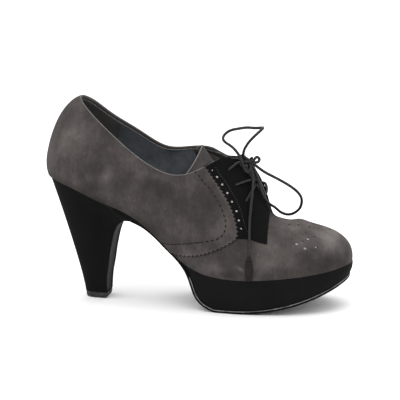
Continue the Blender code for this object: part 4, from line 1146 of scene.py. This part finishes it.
def make_tongue():
    """The tongue, with a light edge round its free end."""
    sides = np.array(TONGUE_SIDES)
    rib = np.linspace(sides[0, 0], sides[-1, 0], 90)
    reach = table_curve(TONGUE_SIDES, rib)
    part = np.linspace(0, 1, 14)
    bridge = 1 + np.linspace(0, 1, 40)[1:-1]
    ways = np.array([np.concatenate([r + (1 - r) * part, bridge, 2 + (1 - r) * part]) for r in reach])
    late = np.clip((rib - sides[-2, 0]) / (sides[-1, 0] - sides[-2, 0]), 0, 1)
    skew = TONGUE_SKEW * late[:, None] * ease(ways, 1, 2)
    bow = table_curve(TONGUE_BOW, rib)[:, None] + 0 * ways
    sink = np.array(TONGUE_SINK)
    whole = table_curve(sink[:, (0, 1)], rib)[:, None]
    medial = table_curve(sink[:, (0, 2)], rib)[:, None]
    inside = np.clip(ways - 1, 0, 1)
    sunk = whole * np.sin(math.pi * inside) + medial * ease(inside, 0.55, 0.95)
    lift = (TONGUE_LIFT - sunk)[..., None]
    rib = rib[:, None] + skew
    outer = over_instep(rib, ways, lift, bow)
    inner = over_instep(rib, ways, lift - TONGUE, bow)
    tongue = shell("tongue_suede", outer, inner, GREY)
    paint(tongue, TONGUE_TONE)
    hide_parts("tongue")
    free = outer[TONGUE_FREE_ROW:]
    edge = np.concatenate([free[:, 0], free[-1, 1:-1], free[::-1, -1]])
    line = bead("tongue_edge", edge, TONGUE_EDGE_RADIUS, EDGE)


# Sole and heel


def offset_curve(curve, distance):
    """A side profile moved up, square to its own run from toe to heel."""
    run = unit(np.gradient(curve, axis=0))
    return curve + np.reshape(distance, (-1, 1)) * np.stack([run[:, 1], -run[:, 0]], axis=1)


def sole_depth(x):
    """Thickness of the outsole at each x."""
    return np.interp(x, [row[0] for row in SOLE_DEPTH], [row[1] for row in SOLE_DEPTH])


def sole_profile():
    """Underside of the outsole from the toe to the heel, as a dense side profile."""
    reach = column("base_x", np.array(0.0)) + 2 - FLAT_FRONT_X
    swing = np.linspace(math.asin(reach / TOE_ROCKER), 0, 400)
    rocker = np.stack([FLAT_FRONT_X + TOE_ROCKER * np.sin(swing), TOE_ROCKER * (1 - np.cos(swing))], axis=1)
    waist_x = np.linspace(WAIST_FRONT_X, OUTSOLE_END_X - 1, 8)
    waist = offset_curve(np.stack([waist_x, feather(waist_x)], axis=1), -(CLEAR + sole_depth(waist_x)))
    bend = np.concatenate([[(FLAT_REAR_X + 5, 0.0), (FLAT_REAR_X, 0.0)], SOLE_REAR, waist])
    rear = smooth_route(bend, 0.4)
    rear[:, 1] = np.maximum(rear[:, 1], 0)
    return np.concatenate([rocker[:-1], rear])


PROFILE = sole_profile()
DEPTH = sole_depth(PROFILE[:, 0])


def height_at(curve, x):
    """Height of a side profile at each x."""
    order = np.argsort(curve[:, 0])
    return np.interp(x, curve[order, 0], curve[order, 1])


def sole_ribs(last_x, count):
    """Ribs round the front of the sole, lateral side first, as far back as last_x."""
    rib = np.linspace(0, HEEL_RIB, 2000)
    last = np.interp(-last_x, -column("base_x", rib), rib)
    turn = np.sin(np.linspace(-1, 1, count) * math.pi / 2 * 0.92) / math.sin(math.pi / 2 * 0.92)
    return np.linspace(last, -last, count) * 0.55 - turn * last * 0.45


def sole_grow(x):
    """How far the outsole reaches out from the feather line's plan."""
    return -SOLE_INSET + (SOLE_FLUSH + SOLE_INSET) * ease(-x, -SOLE_REAR_X, -SOLE_REAR_X + SOLE_REAR_RUN)


def make_outsole():
    """The outsole with a rounded edge, and the welt bead between it and the platform, coloured light as a
    painted highlight of the outsole's top edge.
    """
    rib = sole_ribs(OUTSOLE_END_X, 320)
    x = rim(rib, 0.0)[:, 0]
    reach = sole_grow(x) + HEEL_SOLE_TRIM * ease(x, 78, 90)
    rings = []
    for angle in np.radians(np.linspace(-90, 90, 9)):
        plan = rim(rib, reach - SOLE_ROUND * (1 - math.cos(angle)))
        level = offset_curve(PROFILE, DEPTH * (0.5 + 0.5 * math.sin(angle)))
        rings.append(np.column_stack((plan, height_at(level, plan[:, 0]))))
    outsole = stack("outsole_edge", np.array(rings), SOLE_EDGE)
    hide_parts("outsole")
    rib = sole_ribs(WELT_END_X, 300)
    plan = rim(rib, sole_grow(rim(rib, 0.0)[:, 0]) + WELT_OUT)
    z = height_at(offset_curve(PROFILE, DEPTH - WELT_DROP), plan[:, 0])
    # Welt bead coloured light as a painted highlight
    welt_highlight = bead("welt_highlight", np.column_stack((plan, z)), WELT_RADIUS, WELT_HIGHLIGHT)


def make_platform():
    """The suede-covered platform, a little full at its side."""
    rib = sole_ribs(PLATFORM_END_X, 320)
    low_z = height_at(offset_curve(PROFILE, DEPTH + CLEAR), rim(rib, -SOLE_INSET)[:, 0])
    high_z = feather(rim(rib, SOLE_FLUSH)[:, 0]) - SEAT_GAP
    rings = []
    for level in np.concatenate([[0.0], np.linspace(0.02, 0.98, 15), [1.0]]):
        bulge = PLATFORM_BULGE * math.sin(math.pi * level) - PLATFORM_CORNER * (level in (0.0, 1.0))
        plan = rim(rib, -SOLE_INSET + (SOLE_FLUSH + SOLE_INSET) * level + bulge)
        rings.append(np.column_stack((plan, low_z + (high_z - low_z) * level)))
    platform = stack("platform_cover", np.array(rings), BLACK)
    paint(platform, PLATFORM_TONE)
    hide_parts("platform")


def make_insole():
    """The sock: leather over the insole, with a rolled edge."""
    rib = np.concatenate([np.linspace(HEEL_RIB, 0, 220), np.linspace(0, -HEEL_RIB, 220)[1:]])
    rings = []
    for inset, up in SOCK_RINGS:
        plan = rim(rib, -inset)
        rings.append(np.column_stack((plan, feather(plan[:, 0]) + up)))
    insole = stack("sock", np.array(rings), LINING)
    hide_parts("insole")


def heel_ring(turn):
    """Foot of the heel: a D with a rounded back; turn runs from its front corner to its back."""
    power = 2 / HEEL_SQUARENESS
    angle = turn * math.pi / 2
    depth = HEEL_BASE_FRONT_X - HEEL_BASE_BACK_X
    x = HEEL_BASE_FRONT_X - depth * np.sin(angle)**power
    return x, HEEL_BASE_HALF * np.abs(np.cos(angle))**power


def heel_sides(level, turn):
    """Near and far side of the heel at each level and turn."""
    rib = HEEL_FRONT_RIB + (HEEL_RIB - HEEL_FRONT_RIB) * turn
    foot_x, foot_half = heel_ring(turn)
    lateral = rim(rib, HEEL_SEAT_GROW)[:, 1]
    medial = rim(LOOP - rib, HEEL_SEAT_GROW)[:, 1]
    seat_x = column("base_x", rib)
    seat_z = feather(seat_x) - SEAT_GAP - SEAT_DROP * ease(seat_x, 57, 66)
    foot_z = HEEL_TIP + 0.1
    rings = np.array(HEEL_RINGS)
    forwards = table_curve(rings[:, (0, 1)], level)
    sideways = table_curve(rings[:, (0, 2)], level)
    back = level**HEEL_BACK_CURL
    share = np.sin(turn * math.pi / 2)**2
    flare = sideways + (back - sideways) * share
    x = foot_x + (seat_x - foot_x) * (forwards + (back - forwards) * share)
    z = foot_z + (seat_z - foot_z) * level
    near = np.stack([x, -foot_half + (lateral + foot_half) * flare, z], axis=-1)
    far = np.stack([x, foot_half + (medial - foot_half) * flare, z], axis=-1)
    return near, far


def make_heel():
    """The covered heel, the leather down its breast, and a light bead down the breast's edge that is a
    painted highlight.
    """
    level = np.concatenate([np.linspace(0, 0.84, 30), np.linspace(0.85, 1, 30)])[:, None]
    near, far = heel_sides(level, np.linspace(0, 1, 90)**0.9)
    part = np.linspace(0, 1, 16)[1:-1]
    breast = near[:, :1] + (far[:, :1] - near[:, :1]) * part[:, None]
    breast[..., 0] -= BREAST_HOLLOW * np.sin(math.pi * part) * (1 - level**6)
    half = len(part) // 2
    ring = np.concatenate([breast[:, half - 1::-1], near, far[:, -2::-1], breast[:, :half - 1:-1]], axis=1)
    heel = stack("heel_cover", ring, BLACK)
    paint(heel, PLAIN_TONE)
    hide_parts("heel")
    front = breast[:56, 1:-2]
    outer = front + np.array((BREAST_OUTER, 0, 0))
    cover = shell("breast_cover", outer, front + np.array((BREAST_LIFT, 0, 0)), BREAST)
    # Painted highlight down the breast's edge
    edge = bead("heel_edge_highlight", outer[2:55, 0], HEEL_EDGE_RADIUS, THREAD_AND_HIGHLIGHT)


def make_heel_tip():
    """The top piece under the heel."""
    x, half = heel_ring(np.linspace(0, 1, 60)**0.9)
    middle = (HEEL_BASE_FRONT_X + HEEL_BASE_BACK_X) / 2
    rings = []
    for height, scale in TIP_RINGS:
        near = np.stack([middle + (x - middle) * scale, -half * scale, 0 * x + height], axis=1)
        far = near * np.array((1, -1, 1))
        rings.append(np.concatenate([near, far[-2::-1]]))
    tip = stack("heel_top_piece", np.array(rings), WORN)
    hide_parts("heel_tip")


# Lace


def strand_path(start, end, swing, dip, hump):
    """A strand out of a lateral eyelet, over the throat and into a medial one."""
    step = np.linspace(0.07, 0.93, 40)
    way = start[1] + (3 - end[1] - start[1]) * step
    rib = start[0] + (end[0] - start[0]) * step - swing * np.sin(math.pi * step)
    sunk = dip * np.sin(math.pi * np.clip(way - 1, 0, 1))**2
    raised = hump * np.exp(-((step - CROSS_AT) / CROSS_HUMP_WIDTH)**2)
    over = FACING_OUTER + LACE_RADIUS + 0.1
    middle = over_instep(rib, way, (over - sunk + raised)[:, None])
    first = [surface(start[0], start[1], lift) for lift in EYELET_LIFTS]
    last = [surface(LOOP - end[0], end[1], lift) for lift in EYELET_LIFTS[::-1]]
    return smooth_route(np.concatenate([first, middle, last]), CORD_STEP)


def make_lace():
    """The crossing, the tie, the knot and the bow's cords, with the barrel on the hanging end."""
    top, middle, bottom = EYELETS
    over = strand_path(middle, bottom, CROSS_SWING, CROSS_DIP, CROSS_HUMP)
    under = strand_path(bottom, middle, 0, CROSS_DIP, 0)
    crossing = cord_piece("lace_crossing", [over, under])
    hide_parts("lace_cross")
    tie = cord_piece("lace_top", [strand_path(top, top, TIE_SWING, TIE_DIP, 0)])
    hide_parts("lace_tie")
    knot = make_knot()
    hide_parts("lace_knot")
    barrel = make_barrel()
    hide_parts("lace_barrel")
    cords = (("lace_loop_front", LOOP_FRONT, "object", "loose", [knot]),
             ("lace_loop_back", LOOP_BACK, "object", "loose", []),
             ("lace_end", LACE_END, "fitting", "hanging", [barrel]))
    for name, route, far_end, lay, extras in cords:
        path = smooth_route(route, CORD_STEP)
        cord = cord_piece("cord_" + name, [path])
        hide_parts(name)


def make_knot():
    """The knot: the loops' starts run into turns round them, with a small loop beside."""
    turn = np.linspace(0, 2 * KNOT_TURNS * math.pi, 26)
    ahead = KNOT_ADVANCE * (turn - KNOT_TURNS * math.pi)
    wave = np.stack([np.cos(turn), np.sin(turn), np.cos(turn)], axis=1)
    wrap = np.array(KNOT_MIDDLE) + KNOT_WRAP * wave + np.stack([ahead, 0 * ahead, -ahead], axis=1)
    front, back, hanging = [smooth_route(route, CORD_STEP) for route in (LOOP_FRONT, LOOP_BACK, LACE_END)]
    routes = ((front[KNOT_LAP], front[0], *KNOT_ACROSS, back[0], back[KNOT_LAP]),
              wrap,
              (front[-1 - KNOT_LAP], front[-1], *KNOT_FRONT),
              (back[-1 - KNOT_LAP], back[-1], *KNOT_BACK),
              (hanging[KNOT_LAP], hanging[0], *KNOT_END),
              KNOT_LOOP)
    return cord_piece("knot", [smooth_route(route, CORD_STEP) for route in routes])


def make_barrel():
    """The turned barrel on the hanging end."""
    turn = np.arange(BARREL_SIDES) * 2 * math.pi / BARREL_SIDES
    rings = []
    for radius, height in even_points(np.array(BARREL_PROFILE), 0.25)[::-1]:
        groove = 0.5 + 0.5 * math.cos(2 * math.pi * height / BARREL_PITCH)
        radius = radius - BARREL_GROOVE * groove * min(1, height / 2)
        ring = np.stack([radius * np.cos(turn), radius * np.sin(turn), height + 0 * turn], axis=1)
        rings.append(np.array(BARREL_BASE) + ring)
    barrel = stack("barrel", np.array(rings), BARREL, 35)
    return barrel


# Stage


def aim(made, at, target):
    """Set a light or the camera in its place, turned to its target."""
    made.location = at
    made.rotation_euler = (Vector(target) - Vector(at)).to_track_quat("-Z", "Y").to_euler()


def make_stage():
    """A pale floor, soft studio light and the camera."""
    material, _, shader = new_material("floor", 0.9, 0.5)
    set_inputs(shader, {"Base Color": (FLOOR_TONE, FLOOR_TONE, FLOOR_TONE, 1)})
    mesh = bpy.data.meshes.new("floor")
    corners = [(x * FLOOR_HALF, y * FLOOR_HALF, 0) for x, y in ((-1, -1), (1, -1), (1, 1), (-1, 1))]
    mesh.from_pydata(corners, [], [(0, 1, 2, 3)])
    mesh.materials.append(material)
    link("floor", mesh)
    world = bpy.data.worlds.new("studio")
    world.use_nodes = True
    bpy.context.scene.world = world
    set_inputs(world.node_tree.nodes["Background"], {"Color": (1, 1, 1, 1), "Strength": SKY})
    for name, at, size, power in LIGHTS:
        data = bpy.data.lights.new(name, "AREA")
        data.energy = power
        data.size = size
        aim(link(name, data), at, LIGHT_TARGET)
    bpy.context.scene.view_settings.view_transform = "Standard"
    data = bpy.data.cameras.new("camera")
    data.lens = CAMERA_LENS
    data.sensor_width = CAMERA_FRAME
    camera = link("camera", data)
    aim(camera, CAMERA_AT, CAMERA_TARGET)
    bpy.context.scene.camera = camera


for thing in list(bpy.data.objects):
    bpy.data.objects.remove(thing, do_unlink=True)
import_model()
make_stage()
make_lace()
make_vamp()
make_lining()
for word, medial in (("lateral", False), ("medial", True)):
    make_trim(word, medial)
    make_panel_line(word, medial)
    make_facing(word, medial)
    make_facing_shade_strip(word, medial)
make_panel()
make_topline()
make_heel_grip()
make_tongue()
make_outsole()
make_platform()
make_insole()
make_heel()
make_heel_tip()
